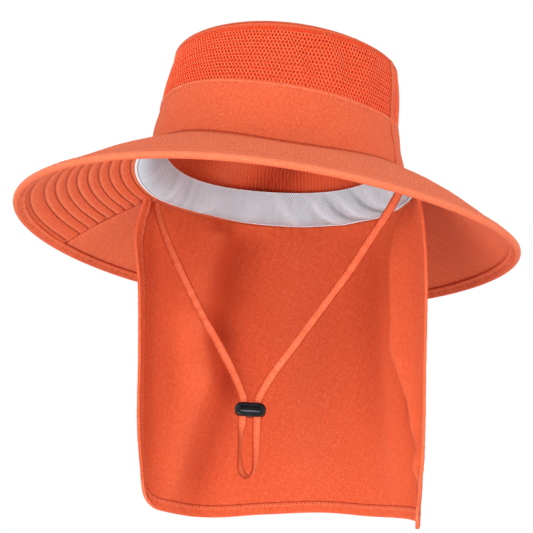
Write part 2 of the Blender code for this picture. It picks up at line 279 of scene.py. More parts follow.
def colour_setting(name, description, red, green, blue):
    return bpy.props.FloatVectorProperty(name=name, description=description, subtype="COLOR", size=4,
                                         min=0.0, max=1.0, default=(red, green, blue, 1.0))


def length_setting(name, description, default, low, high):
    return bpy.props.FloatProperty(name=name, description=description, unit="LENGTH", default=default,
                                   min=low, max=high)


def share_setting(name, description, default):
    return bpy.props.FloatProperty(name=name, description=description, subtype="FACTOR", default=default,
                                   min=0.1, max=0.95)


def power_setting(name, description, default):
    return bpy.props.FloatProperty(name=name, description=description, subtype="POWER", default=default,
                                   min=0.0, max=500.0)


class HatColours(bpy.types.PropertyGroup):
    cloth: colour_setting("Cloth", "Plain woven cloth of the crown, brim, flap and strap", 0.66, 0.088, 0.023)
    net: colour_setting("Net", "Knitted net of the crown", 0.71, 0.056, 0.008)
    thread: colour_setting("Thread", "Sewing thread", 0.78, 0.20, 0.11)
    band: colour_setting("Sweatband", "Light grey twill of the sweatband", 0.56, 0.63, 0.69)
    plastic: colour_setting("Plastic", "Gloss plastic of the cord lock", 0.004, 0.004, 0.005)


class HatSewing(bpy.types.PropertyGroup):
    stitch_pitch: length_setting("Stitch pitch", "From one stitch to the next", 0.0027, 0.0008, 0.01)
    stitch_share: share_setting("Stitch share", "Share of the pitch that shows as thread", 0.68)
    thread_radius: length_setting("Thread radius", "Half the thread's thickness", 0.00024, 0.00005, 0.001)
    quilt_puff: length_setting("Quilting puff", "Rise of the cloth between two quilting rows",
                               0.0011, 0.0, 0.003)
    hem_width: length_setting("Hem width", "Width of the flap's turned hem", 0.0078, 0.002, 0.02)
    binding_width: length_setting("Binding width", "Width of the folded strip on each face of the rim",
                                  0.0070, 0.002, 0.015)


class HatNet(bpy.types.PropertyGroup):
    pitch: length_setting("Hole pitch", "From one hole of the net to the next, round the crown",
                          0.00245, 0.0015, 0.01)
    hole_width: share_setting("Hole width", "Share of the pitch that a hole takes, round the crown", 0.45)
    hole_height: share_setting("Hole height", "Share of the pitch that a hole takes, up the crown", 0.78)


class HatStage(bpy.types.PropertyGroup):
    key_power: power_setting("Key light", "Power of the large light over the camera's left shoulder", 7.0)
    fill_power: power_setting("Fill light", "Power of the low light in front, which reaches under the brim",
                              19.5)
    side_power: power_setting("Side light", "Power of the weak light at the right", 12.0)
    room_light: bpy.props.FloatProperty(
        name="Room light", description="Strength of the even white room", default=1.0, min=0.0, max=3.0)
    floor_height: length_setting("Floor height", "Height of the floor below the held hat", -2.8, -3.0, 0.0)


# Shapes that follow the part's own

def wander(waves, turn):
    """Sum of a few cosine and sine waves at each turn."""
    angle = np.radians(turn)
    return sum(c * np.cos(n * angle) + s * np.sin(n * angle) for n, c, s in waves)


def ellipse(half, turn):
    angle = np.radians(turn)
    return np.stack((half[0] * np.sin(angle), -half[1] * np.cos(angle), np.zeros_like(angle)), axis=-1)


def unit(vectors):
    return vectors / np.linalg.norm(vectors, axis=-1, keepdims=True)


def ridge(value, middle, width):
    """Smooth ridge of height 1 where the value passes the middle."""
    return np.exp(-((value - middle) / width) ** 2)


def hump(share):
    """Half a wave: 0 where the share is 0 or 1, and 1 between them."""
    return np.sin(np.pi * np.clip(share, 0.0, 1.0))


def step_up(value, start, end):
    """Smooth step from 0 at the start to 1 at the end."""
    share = np.clip((value - start) / (end - start), 0.0, 1.0)
    return share * share * (3.0 - 2.0 * share)


def outward(turn):
    """Level direction that points away from the head at each turn."""
    angle = np.radians(turn)
    across = (np.sin(angle) / CROWN_BASE[0], -np.cos(angle) / CROWN_BASE[1], np.zeros_like(angle))
    return unit(np.stack(across, axis=-1))


def off_turn(turn, middle):
    """Degrees from a middle turn, -180 to 180."""
    return (turn - middle + 180.0) % 360.0 - 180.0


def front_dip(turn):
    """How far the brim seam sags in front."""
    return FRONT_DIP * ridge(off_turn(turn, FRONT_DIP_TURN), 0.0, FRONT_DIP_SPREAD)


def seam_height(turn):
    return wander(SEAM_WAVES, turn) - front_dip(turn)


def base_ring(turn, egg_share=1.0):
    egg = 1.0 + BASE_EGG * egg_share * np.sin(3.0 * np.radians(turn))
    return ellipse(CROWN_BASE, turn) * egg[..., None]


def crown_lean(height):
    """How far the crown leans towards +X at a height, most of all at its soft shoulder."""
    return CROWN_LEAN * height + SHOULDER_LEAN * step_up(height, BAND_HEIGHT, CROWN_HEIGHT)


def net_line(turn):
    """How far the seam between band and net lies above its level line: low by the left ear."""
    return sum(rise * ridge(off_turn(turn, middle), 0.0, spread) for middle, spread, rise in NET_LINE)


def crown_point(turn, height):
    """Points on the crown's wall at heights above the brim seam."""
    low = np.clip(height / BAND_HEIGHT, None, 1.0)[..., None]
    high = np.clip((height - BAND_HEIGHT) / MESH_HEIGHT, 0.0, None)[..., None]
    band = base_ring(turn) * (1.0 - low) + ellipse(BAND_TOP, turn) * low
    net = ellipse(BAND_TOP, turn) * (1.0 - high) + ellipse(CROWN_TOP, turn) * high
    net = net + outward(turn) * NET_SWELL * hump(high)
    point = np.where((height > BAND_HEIGHT)[..., None], net, band)
    point[..., 0] += crown_lean(height)
    point[..., 2] = height + seam_height(turn) * np.clip(1.0 - height / CROWN_HEIGHT, 0.0, None)
    point[..., 2] += net_line(turn) * np.clip(np.minimum(low, 1.0 - high)[..., 0], 0.0, 1.0)
    return point


def brim_point(turn, share, lift=0.0):
    """Points on the middle of the brim: share 0 at the crown, 1 at the rim, raised square to it by lift."""
    droop = np.radians(BRIM_DROOP + wander(DROOP_WAVES, turn))
    reach, fall = BRIM_WIDTH * np.cos(droop), BRIM_WIDTH * np.sin(droop)
    away = outward(turn)
    arch = BRIM_ARCH * (1.0 - BRIM_FLATTER * ridge(off_turn(turn, BRIM_FLAT_TURN), 0.0, BRIM_FLAT_SPREAD))
    dip, kept = front_dip(turn), ridge(share, 0.0, FRONT_DIP_REACH)
    point = base_ring(turn, np.clip(1.0 - share, 0.0, None)) + away * (reach * share)[..., None]
    point[..., 2] = seam_height(turn) + dip * (1.0 - kept) - fall * share + arch * np.sin(np.pi * share)
    slope = -fall + arch * np.pi * np.cos(np.pi * share) + dip * 2.0 * share / FRONT_DIP_REACH ** 2 * kept
    normal = unit(np.array((0.0, 0.0, 1.0)) - away * (slope / reach)[..., None])
    return point + normal * np.asarray(lift)[..., None]


def below_brim(turn, offset, drop):
    """Points under the brim, a level offset out from the crown's base and drop below its lower face."""
    droop = np.radians(BRIM_DROOP + wander(DROOP_WAVES, turn))
    return brim_point(turn, offset / (BRIM_WIDTH * np.cos(droop)), -BRIM_CLOTH / 2.0 - drop)


def smooth(places, values, place):
    """Smooth curve through values at uneven places, read at each place; each value may be a whole grid."""
    places, values, place = (np.asarray(numbers, float) for numbers in (places, values, place))
    first = np.clip(np.searchsorted(places, place, side="left") - 1, 0, len(places) - 2)
    span = places[first + 1] - places[first]
    t = (place - places[first]) / span
    before = np.clip(np.arange(len(places)) - 1, 0, None)
    after = np.clip(np.arange(len(places)) + 1, None, len(places) - 1)
    run = (places[after] - places[before]).reshape((-1,) + (1,) * (values.ndim - 1))
    slopes = (values[after] - values[before]) / run

    def pick(table, index):
        return table[index] if values.ndim == 1 else np.take_along_axis(table, index[None], axis=0)[0]

    a, b = pick(values, first), pick(values, first + 1)
    ma, mb = pick(slopes, first) * span, pick(slopes, first + 1) * span
    return (a * (2 * t ** 3 - 3 * t * t + 1) + ma * (t ** 3 - 2 * t * t + t)
            + b * (3 * t * t - 2 * t ** 3) + mb * (t ** 3 - t * t))


def flap_turn(side):
    return FLAP_FRONT_TURN + (360.0 - 2.0 * FLAP_FRONT_TURN) * side


def flap_folds(side, down):
    """Soft drape folds that run down the flap, as a rise away from the head."""
    rise = np.zeros_like(side)
    for side_a, down_a, side_b, down_b, width, height in FLAP_FOLDS:
        along = np.clip((down - down_a) / (down_b - down_a), -0.4, 1.4)
        middle = side_a + (side_b - side_a) * along
        ends = np.clip((along + 0.4) / 0.6, 0.0, 1.0) * np.clip((1.4 - along) / 0.6, 0.0, 1.0)
        rise += height * step_up(ends, 0.0, 1.0) * ridge(side, middle, width)
    return rise * np.clip(down / 0.05, 0.0, 1.0) * (1.0 - 0.75 * step_up(down, 0.82, 1.0))


def flap_point(side, down):
    """Points on the neck flap: side 0 at its edge by the left ear, 1 at the right ear, down 0 to 1."""
    turn = flap_turn(side)
    columns = list(zip(*FLAP_COLUMNS))
    sides, drops, sways = columns[0], columns[1], columns[2:]
    levels = np.stack([FLAP_SWAY * smooth(sides, column, side) for column in sways])
    sway = smooth(FLAP_LEVELS, levels, down)
    offset = SWEATBAND_SPREAD + FLAP_SEAM_CLEARANCE + levels[0]
    top = below_brim(turn, offset, GAP + FLAP_CLOTH / 2.0)
    point = top + outward(turn) * (sway - levels[0] + flap_folds(side, down))[..., None]
    point[..., 1] += FLAP_SWING * down
    drop = FLAP_DROP * smooth(sides, drops, side)
    for edge, (wide, high) in zip((side, 1.0 - side), FLAP_CORNERS):
        across = np.clip(1.0 - edge * FLAP_WIDTH / wide, 0.0, 1.0)
        drop = drop - high * (1.0 - np.sqrt(1.0 - across * across))
    point[..., 2] -= drop * down
    return point


# Mesh making

def surface(place, u, v):
    """Points of a sheet at u and v, and the directions square to it."""
    step = 1e-3
    across = place(u + step, v) - place(u - step, v)
    along = place(u, v + step) - place(u, v - step)
    return place(u, v), unit(np.cross(across, along))


def puckers(along, phase=0.0, length=0.0052):
    """Uneven small waves along a sewn edge, from -1 to 1; along and length are in metres."""
    turns = 2.0 * math.pi / length
    uneven = 1.9 * np.sin(along * turns * 0.23 + phase) + 1.1 * np.sin(along * turns * 0.071 + 2.0 * phase)
    return 0.6 * np.sin(along * turns + uneven) + 0.4 * np.sin(along * turns * 1.63 - uneven + phase)


def grid_normals(points, closed):
    across = np.roll(points, -1, 1) - np.roll(points, 1, 1) if closed else np.gradient(points, axis=1)
    return unit(np.cross(across, np.gradient(points, axis=0)))


def crease_marks(points, rise):
    """Where a relief over a grid of points is a groove, down to -1, or a ridge, up to 1."""
    marks = np.zeros_like(rise)
    for axis in (0, 1):
        spacing = np.linalg.norm(np.gradient(points, axis=axis), axis=-1)
        slope = np.gradient(rise, axis=axis) / spacing
        marks -= np.gradient(slope, axis=axis) / spacing
    return np.tanh(marks / 900.0)


def add_piece(name, vertices, faces, material, chart=None, sharp=50.0, marks=None):
    """New mesh object; chart gives each face corner its place on the cloth, and marks the painted shade and
    highlight of each point.
    """
    mesh = bpy.data.meshes.new(name)
    mesh.from_pydata(np.asarray(vertices).tolist(), [], faces)
    if chart is not None:
        layer = mesh.attributes.new("cloth", "FLOAT_VECTOR", "CORNER")
        layer.data.foreach_set("vector", np.ascontiguousarray(chart, dtype=np.float32).ravel())
    # Painted shade below 0 and painted highlight above 0, for each point
    if marks is not None:
        layer = mesh.attributes.new("painted_shading", "FLOAT", "POINT")
        layer.data.foreach_set("value", np.ascontiguousarray(marks, dtype=np.float32).ravel())
    mesh.materials.append(material)
    mesh.shade_smooth()
    mesh.set_sharp_from_angle(angle=math.radians(sharp))
    piece = bpy.data.objects.new(name, mesh)
    bpy.context.scene.collection.objects.link(piece)
    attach(piece, "root")
    return piece


def no_relief(columns, rows):
    return np.zeros_like(columns)


def cloth_sheet(name, place, columns, rows, wall, material, chart, closed=False, flip=False, capped=False,
                outer=no_relief, inner=no_relief, outer_tone=no_relief, inner_tone=no_relief):
    """Cloth sheet over a grid of columns and rows, with relief and tones of painted light and shade on its
    outer and inner face.
    """
    u, v = np.meshgrid(columns, rows)
    points = place(u, v)
    normals = grid_normals(points, closed)
    rises = [face(u, v) for face in ((inner, outer) if flip else (outer, inner))]
    half = wall / 2.0
    upper = points + normals * (half + rises[0])[..., None]
    lower = points - normals * (half + rises[1])[..., None]
    tones = [tone(u, v) for tone in ((inner_tone, outer_tone) if flip else (outer_tone, inner_tone))]
    # Painted shade in each face's grooves and painted highlight on its ridges, with the face's painted tone
    # added
    marks = np.concatenate([np.clip(crease_marks(points, rise) + tone, -1.0, 1.0).ravel()
                            for rise, tone in zip(rises, tones)])
    height, width = u.shape
    count = height * width
    r, c = np.meshgrid(np.arange(height - 1), np.arange(width if closed else width - 1), indexing="ij")
    quad = grid_quads(r, c, width)
    faces = [quad, quad[:, ::-1] + count]
    far = np.append(columns, columns[0] + 360.0) if closed else columns
    places = np.stack(np.broadcast_arrays(*chart(*np.meshgrid(far, rows)), 0.0), axis=-1)
    corner = np.stack([places[r + dr, c + dc] for dr, dc in ((0, 0), (0, 1), (1, 1), (1, 0))], axis=2)
    corner = corner.reshape(-1, 4, 3)
    charts = [corner, corner[:, ::-1]]
    borders = [((0, c[0]), (0, c[0] + 1))]
    if not capped:
        borders.append(((height - 1, c[0] + 1), (height - 1, c[0])))
    if not closed:
        borders += [((r[:, 0] + 1, 0), (r[:, 0], 0)), ((r[:, 0], width - 1), (r[:, 0] + 1, width - 1))]
    for (ra, ca), (rb, cb) in borders:
        ra, ca, rb, cb = np.broadcast_arrays(ra, ca, rb, cb)
        a, b = ra * width + ca % width, rb * width + cb % width
        faces.append(np.stack((b, a, a + count, b + count), axis=-1))
        pa, pb = places[ra, ca], places[rb, cb]
        charts.append(np.stack((pb, pa, pa, pb), axis=1))
    vertices = np.concatenate((upper.reshape(-1, 3), lower.reshape(-1, 3)))
    faces, charts = np.concatenate(faces).tolist(), [block.reshape(-1, 3) for block in charts]
    if capped:
        last = np.arange(count - width, count)
        faces += [last.tolist(), (last + count)[::-1].tolist()]
        charts += [places[-1, :width], places[-1, :width][::-1]]
    return add_piece(name, vertices, faces, material, np.concatenate(charts), marks=marks)


def grid_quads(r, c, width):
    quad = np.stack((r * width + c, r * width + (c + 1) % width,
                     (r + 1) * width + (c + 1) % width, (r + 1) * width + c), axis=-1)
    return quad.reshape(-1, 4)


class Threads:
    """Stitches of one sewn group, gathered run by run and made into one piece."""

    def __init__(self):
        self.vertices, self.faces, self.count = [], [], 0

    def run(self, path, normals, pitch, share, radius, closed=False):
        """Row of stitches along a path, each a small boat of thread whose ends dip into the cloth."""
        if closed:
            path, normals = np.vstack((path, path[:1])), np.vstack((normals, normals[:1]))
        steps = np.linalg.norm(np.diff(path, axis=0), axis=1)
        length = np.concatenate(((0.0,), np.cumsum(steps)))
        count = max(1, int(length[-1] / pitch))
        pitch = length[-1] / count
        start = (np.arange(count) + 0.5 - share / 2.0) * pitch
        places = start[:, None] + np.array((0.0, 0.25, 0.75, 1.0)) * pitch * share
        at = np.stack([np.interp(places, length, path[:, axis]) for axis in range(3)], axis=-1)
        up = unit(np.stack([np.interp(places, length, normals[:, axis]) for axis in range(3)], axis=-1))
        along = unit(at[:, 3:] - at[:, :1])
        side = unit(np.cross(up, np.broadcast_to(along, up.shape)))
        tips = at - up * radius * 0.9
        ring = [at + side * radius, at + up * radius * 0.8, at - side * radius, at - up * radius]
        vertices = [tips[:, 0]] + [p[:, 1] for p in ring] + [p[:, 2] for p in ring] + [tips[:, 3]]
        base = self.count + np.arange(count)[:, None, None] * 10
        k = np.arange(4)
        after = (k + 1) % 4
        first = np.stack((0 * k, 1 + k, 1 + after), axis=-1)
        middle = np.stack((1 + k, 5 + k, 5 + after, 1 + after), axis=-1)
        last = np.stack((9 + 0 * k, 5 + after, 5 + k), axis=-1)
        for faces in (first, middle, last):
            self.faces.extend((base + faces[None]).reshape(-1, faces.shape[1]).tolist())
        self.vertices.append(np.stack(vertices, axis=1).reshape(-1, 3))
        self.count += count * 10

    def sew(self, place, u, v, rise, relief=no_relief, flip=False, closed=False, pitch=None):
        """Row of stitches over a sheet through the places u and v, raised from its middle and its relief."""
        u, v, rise = (np.array(values, float) for values in np.broadcast_arrays(u, v, rise))
        rise += relief(u, v)
        points, normals = surface(place, u, v)
        normals = -normals if flip else normals
        sewing = bpy.context.scene.hat_sewing
        self.run(points + normals * rise[:, None], normals, pitch or sewing.stitch_pitch,
                 sewing.stitch_share, sewing.thread_radius, closed)

    def piece(self, name, material):
        return add_piece(name, np.concatenate(self.vertices), self.faces, material, sharp=180.0)


# Materials

class Wire:
    """Socket of a material's nodes, so that shader maths reads as plain Python."""

    def __init__(self, look, socket):
        self.look, self.socket = look, socket

    def math(self, operation, *values):
        inputs = {index: value for index, value in enumerate(values)}
        return self.look.add("ShaderNodeMath", {"operation": operation}, inputs)

    def __add__(self, other):
        return self.math("ADD", self, other)

    def __sub__(self, other):
        return self.math("SUBTRACT", self, other)

    def __rsub__(self, other):
        return self.math("SUBTRACT", other, self)

    def __mul__(self, other):
        return self.math("MULTIPLY", self, other)

    __radd__ = __add__
    __rmul__ = __mul__

    def sin(self):
        return self.math("SINE", self)

    def most(self, other):
        return self.math("MAXIMUM", self, other)

    def least(self, other):
        return self.math("MINIMUM", self, other)


class Look:
    """Material whose nodes are added one by one and fed to its Principled shader."""

    def __init__(self, name, roughness, **constants):
        self.material = bpy.data.materials.new(name)
        self.material.use_nodes = True
        self.tree = self.material.node_tree
        self.shader = self.tree.nodes["Principled BSDF"]
        self.shader.inputs["Roughness"].default_value = roughness
        for socket, value in constants.items():
            self.shader.inputs[socket.replace("_", " ")].default_value = value

    def add(self, kind, settings=None, inputs=None, output=0):
        """Node of a type with its settings, then the values or links of its sockets."""
        node = self.tree.nodes.new(kind)
        for setting, value in (settings or {}).items():
            setattr(node, setting, value)
        for socket, value in (inputs or {}).items():
            self.feed(node.inputs[socket], value)
        return Wire(self, node.outputs[output])

    def feed(self, socket, value):
        if isinstance(value, Wire):
            self.tree.links.new(value.socket, socket)
        else:
            socket.default_value = value

    def chart(self):
        """Place on the cloth in metres, across and along."""
        place = self.add("ShaderNodeAttribute", {"attribute_name": "cloth"}, output="Vector")
        parts = self.add("ShaderNodeSeparateXYZ", inputs={"Vector": place})
        return [Wire(self, parts.socket.node.outputs[axis]) for axis in ("X", "Y")]

    def painted_shading(self):
        """Painted shade below 0, in grooves and where a tone darkens, and painted highlight above 0, on ridges
        and where a tone lightens.
        """
        return self.add("ShaderNodeAttribute", {"attribute_name": "painted_shading"}, output="Fac")

    def noise(self, scale, detail, stretch=None):
        place = self.add("ShaderNodeTexCoord", output="Object")
        if stretch:
            place = self.add("ShaderNodeMapping", inputs={"Vector": place, "Scale": stretch})
        inputs = {"Vector": place, "Scale": scale, "Detail": detail}
        return self.add("ShaderNodeTexNoise", inputs=inputs, output="Fac")

    def mix(self, factor, first, second):
        settings = {"data_type": "RGBA", "clamp_factor": True}
        return self.add("ShaderNodeMix", settings, {"Factor": factor, 6: first, 7: second}, 2)

    def shade(self, colour, amount):
        """Colour made lighter or darker by an amount near 1."""
        values = {0: colour if isinstance(colour, Wire) else colour[:3], "Scale": amount}
        return self.add("ShaderNodeVectorMath", {"operation": "SCALE"}, values)

    def bump(self, height, distance):
        inputs = {"Height": height, "Distance": distance, "Strength": 1.0}
        self.feed(self.shader.inputs["Normal"], self.add("ShaderNodeBump", inputs=inputs))

    def colour(self, value):
        self.feed(self.shader.inputs["Base Color"], value)


def tinted(colour, red, green, blue):
    return (min(1.0, colour[0] * red), min(1.0, colour[1] * green), min(1.0, colour[2] * blue), 1.0)


# Threads and ribs of the cloths, metres from one to the next
WEAVE_PITCH = 0.00060
TWILL_PITCH = 0.00165
TWILL_THREAD_PITCH = 0.0007
LINING_PITCH = 0.0026

# Thin cloth that lets light through, red most of all
LIT_THROUGH = {"Subsurface_Weight": 0.25, "Subsurface_Radius": (1.0, 0.22, 0.10), "Subsurface_Scale": 0.003}


def cloth_look(name, colour):
    """Plain weave: crossing threads and fine pale slubs, with painted shade in grooves and a painted highlight
    on ridges.
    """
    look = Look(name, 0.85, Specular_IOR_Level=0.35, **LIT_THROUGH)
    across, along = look.chart()
    turns = 2.0 * math.pi / WEAVE_PITCH
    weave = (across * turns).sin() * (along * turns).sin()
    slub_across = look.noise(1900.0, 1.0, stretch=(1.0, 1.0, 0.25))
    slub_along = look.noise(1900.0, 1.0, stretch=(0.25, 0.25, 1.0))
    mottle = look.noise(70.0, 4.0)
    # Painted shade below 0 and painted highlight above 0
    fold = look.painted_shading()
    grain = slub_across + slub_along - 1.0
    # Painted highlight on ridges, together with the pale slubs of the yarn
    painted_highlight = fold.most(0.0) * 0.8 + (grain * 1.1 + 0.08).most(0.0)
    painted_light = look.mix(painted_highlight, colour, tinted(colour, 1.10, 1.95, 3.40))
    # Painted shade: grooves darkened towards a deep, saturated red
    painted_groove_shade = look.mix(fold.least(0.0) * -0.95, painted_light, tinted(colour, 0.46, 0.22, 0.12))
    look.colour(look.shade(painted_groove_shade, 1.0 + grain * 0.20 + weave * 0.05 + (mottle - 0.5) * 0.06))
    look.bump(weave * 0.5 + slub_across + slub_along, 0.00014)
    return look.material


def net_look(name, colour):
    """Knitted net: raised ribs with a painted highlight round holes with painted shade, richer in the dye than
    the plain cloth.
    """
    look = Look(name, 0.70, Specular_IOR_Level=0.25, **{**LIT_THROUGH, "Subsurface_Weight": 0.7})
    across, along = look.chart()
    knit = (across * 7000.0 + (along * 3500.0).sin()).sin()
    mottle = look.noise(120.0, 2.0)
    strands = look.noise(1500.0, 1.0)
    rib = look.painted_shading()
    # Painted highlight on the raised ribs
    painted_lit_ribs = look.mix(rib.most(0.0), colour, tinted(colour, 1.25, 3.1, 9.5))
    # Painted shade round the holes
    ribs = look.mix(rib.least(0.0) * -0.8, painted_lit_ribs, tinted(colour, 0.90, 0.55, 0.40))
    look.colour(look.shade(ribs, 1.0 + (mottle - 0.5) * 0.20 + knit * 0.08 + (strands - 0.5) * 0.40))
    look.bump(knit + strands * 2.0, 0.00010)
    return look.material


def twill_look(name, colour):
    """Grey twill tape with slanting ribs, painted shade in its grooves and folds, a painted highlight on its
    ridges, and a whiter edge.
    """
    look = Look(name, 0.8, Sheen_Weight=0.10, Specular_IOR_Level=0.2)
    across, along = look.chart()
    ribs, threads = 2.0 * math.pi / TWILL_PITCH, 2.0 * math.pi / TWILL_THREAD_PITCH
    slant = ((across + along * 0.9) * ribs).sin()
    cross = (across * threads).sin() * (along * threads).sin()
    mottle = look.noise(60.0, 3.0)
    gather = look.noise(95.0, 2.0, stretch=(1.0, 1.0, 0.2))
    fold = look.painted_shading()
    amount = 1.0 + slant * 0.26 + cross * 0.10 + (mottle - 0.5) * 0.16 + (gather - 0.5) * 0.24
    # Painted shade in grooves and folds, painted highlight on ridges
    amount = amount + fold.least(0.0) * 0.50 + fold.most(0.0) * 0.22
    free_edge = SWEATBAND_GIRTH - 0.0008
    edges = (0.0026 - along).most(0.0) * 900.0 + (along - free_edge).most(0.0) * 1500.0
    look.colour(look.shade(look.mix(edges.least(1.0), colour, (0.70, 0.74, 0.78, 1.0)), amount))
    look.bump(slant + cross * 0.5 + gather, 0.00018)
    return look.material


def thread_look(name, colour):
    """Twisted sewing thread."""
    look = Look(name, 0.70, Specular_IOR_Level=0.2)
    twist = look.noise(2600.0, 1.0)
    look.colour(look.shade(colour, 0.85 + twist * 0.3))
    look.bump(twist, 0.00006)
    return look.material


def plastic_look(name, colour):
    """Moulded gloss plastic with a faint unevenness."""
    look = Look(name, 0.25, Specular_IOR_Level=0.20)
    wear = look.noise(420.0, 3.0)
    look.feed(look.shader.inputs["Roughness"], 0.16 + wear * 0.16)
    look.colour(look.mix(wear * 0.5, colour, tinted(colour, 2.0, 2.1, 2.4)))
    look.bump(look.noise(260.0, 2.0), 0.00005)
    return look.material


def floor_look(name):
    """Pale studio floor with a faint unevenness."""
    look = Look(name, 0.9)
    grain = look.noise(6.0, 3.0)
    look.colour(look.shade((0.86, 0.86, 0.86, 1.0), 0.99 + grain * 0.02))
    return look.material


def shared_look(maker, name, *values):
    """The material of that name, made the first time that a piece asks for it."""
    return bpy.data.materials.get(name) or maker(name, *values)


def hat_cloth():
    return shared_look(cloth_look, "coral cloth", tuple(bpy.context.scene.hat_colours.cloth))


def hat_thread():
    return shared_look(thread_look, "coral thread", tuple(bpy.context.scene.hat_colours.thread))


# Pieces

class HAT_OT_stage(bpy.types.Operator):
    """Camera at the photograph's view, even white room, soft lights and a pale floor"""
    bl_idname = "hat.stage"
    bl_label = "Stage and camera"

    def execute(self, context):
        stage = context.scene.hat_stage
        azimuth, elevation = math.radians(VIEW_AZIMUTH), math.radians(VIEW_ELEVATION)
        roll = math.radians(VIEW_ROLL)
        back = Vector((math.sin(azimuth) * math.cos(elevation), -math.cos(azimuth) * math.cos(elevation),
                       math.sin(elevation)))
        level = Vector((math.cos(azimuth), math.sin(azimuth), 0.0))
        upright = back.cross(level)
        right = level * math.cos(roll) + upright * math.sin(roll)
        up = upright * math.cos(roll) - level * math.sin(roll)
        focal = VIEW_SCALE * VIEW_DISTANCE
        middle = PICTURE_SIZE / 2.0
        aim = (right * ((middle - VIEW_ORIGIN_PIXEL[0]) / focal)
               - up * ((middle - VIEW_ORIGIN_PIXEL[1]) / focal) - back).normalized()
        side = (right + aim * -right.dot(aim)).normalized()
        camera_data = bpy.data.cameras.new("camera")
        camera_data.sensor_width = 36.0
        camera_data.lens = focal / PICTURE_SIZE * camera_data.sensor_width
        camera = bpy.data.objects.new("camera", camera_data)
        context.scene.collection.objects.link(camera)
        matrix = Matrix((side, (-aim).cross(side), -aim)).transposed().to_4x4()
        matrix.translation = back * VIEW_DISTANCE
        camera.matrix_world = matrix
        context.scene.camera = camera

        world = bpy.data.worlds.new("white room")
        context.scene.world = world
        world.use_nodes = True
        background = world.node_tree.nodes["Background"]
        background.inputs["Color"].default_value = (1.0, 1.0, 1.0, 1.0)
        background.inputs["Strength"].default_value = stage.room_light

        lamps = (
            # name, place along right, up and back, size, power
            ("key", -0.9, 0.95, 1.3, 0.7, stage.key_power),
            ("fill", -0.7, -0.5, 1.5, 0.8, stage.fill_power),
            ("side", 1.3, -0.1, 1.3, 1.0, stage.side_power),
        )
        for name, along, above, nearer, size, power in lamps:
            light = bpy.data.lights.new(name, "AREA")
            light.energy, light.size = power, size
            lamp = bpy.data.objects.new(name, light)
            context.scene.collection.objects.link(lamp)
            place = right * along + up * above + back * nearer
            lamp.location = place
            lamp.rotation_euler = place.to_track_quat("Z", "Y").to_euler()

        half, height = 4.0, stage.floor_height
        corners = [(-half, -half, height), (half, -half, height), (half, half, height), (-half, half, height)]
        mesh = bpy.data.meshes.new("floor")
        mesh.from_pydata(corners, [], [(0, 1, 2, 3)])
        mesh.materials.append(floor_look("pale floor"))
        floor = bpy.data.objects.new("floor", mesh)
        context.scene.collection.objects.link(floor)
        return {"FINISHED"}


def strap_path(count):
    """Points of the strap's middle line, its travel and the direction across its flat face."""
    numbers = np.arange(len(STRAP_ROUTE))
    columns = np.array(STRAP_ROUTE).T
    place = np.linspace(0.0, numbers[-1], count)
    path = np.stack([smooth(numbers, columns[axis], place) for axis in range(3)], axis=-1)
    face = np.radians(smooth(numbers, columns[3], place))[:, None]
    travel = unit(np.gradient(path, axis=0))
    level = unit(np.cross(travel, np.array((0.0, 1.0, 0.0))))
    deep = unit(np.cross(level, travel))
    return path, travel, level * np.cos(face) + deep * np.sin(face)


class HAT_OT_strap(bpy.types.Operator):
    """Chin strap: one flat folded loop of cloth through the cord lock, with its stitched edge"""
    bl_idname = "hat.strap"
    bl_label = "Chin strap"

    def execute(self, context):
        path, travel, across = strap_path(360)
        flat = unit(np.cross(travel, across))
        length = np.concatenate(((0.0,), np.cumsum(np.linalg.norm(np.diff(path, axis=0), axis=1))))
        half, thick = STRAP_WIDTH / 2.0, STRAP_CLOTH / 2.0
        outline = (
            # across, deep, as shares of half the width and half the thickness
            (1.00, 0.0), (0.97, 0.55), (0.86, 0.92), (0.60, 1.0), (0.20, 0.96), (-0.25, 0.96),
            (STRAP_ROW, 0.72), (-0.80, 0.95), (-0.96, 0.6), (-1.0, 0.0), (-0.96, -0.6), (-0.80, -0.95),
            (STRAP_ROW, -0.72), (-0.25, -0.96), (0.20, -0.96), (0.60, -1.0), (0.86, -0.92), (0.97, -0.55),
        )
        swell = 1.0 + 0.03 * np.sin(length * 2600.0) + 0.04 * np.sin(length * 910.0 + 1.0)
        rings = [path + across * (half * a) + flat * (thick * d * swell)[:, None] for a, d in outline]
        sides = len(outline)
        vertices = np.stack(rings, axis=1).reshape(-1, 3)
        r, c = np.meshgrid(np.arange(len(path) - 1), np.arange(sides), indexing="ij")
        faces = grid_quads(r, c, sides)[:, ::-1]
        girth = 2.0 * STRAP_WIDTH / sides
        chart = np.stack([np.stack((girth * (c + dc), length[r + dr], np.zeros_like(c, float)), axis=-1)
                          for dr, dc in ((1, 0), (1, 1), (0, 1), (0, 0))], axis=2).reshape(-1, 3)
        ends = [list(range(sides)), list(range((len(path) - 1) * sides, len(path) * sides))[::-1]]
        chart = np.concatenate((chart, np.zeros((2 * sides, 3))))
        # Painted light over the middle of the strap's face, and painted shade towards its rounded edges and in
        # its stitched groove
        folds = np.array([0.60 - 2.0 * abs(a) ** 4 - (0.5 if a == STRAP_ROW else 0.0) for a, _ in outline])
        wear = 0.30 * np.sin(length * 3100.0 + 0.7) * np.sin(length * 740.0)
        marks = np.clip(folds[None, :] + wear[:, None], -1.0, 1.0)
        strap = add_piece("chin_strap_cloth", vertices, faces.tolist() + ends, hat_cloth(), chart, 60.0, marks)
        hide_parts("chin_strap")

        threads = Threads()
        for face in (1.0, -1.0):
            row = path + across * (half * STRAP_ROW) + flat * (face * thick * 0.74)
            threads.run(row, flat * face, pitch=0.0020, share=0.62, radius=0.00017)
        sewn = threads.piece("strap_stitches", hat_thread())
        return {"FINISHED"}


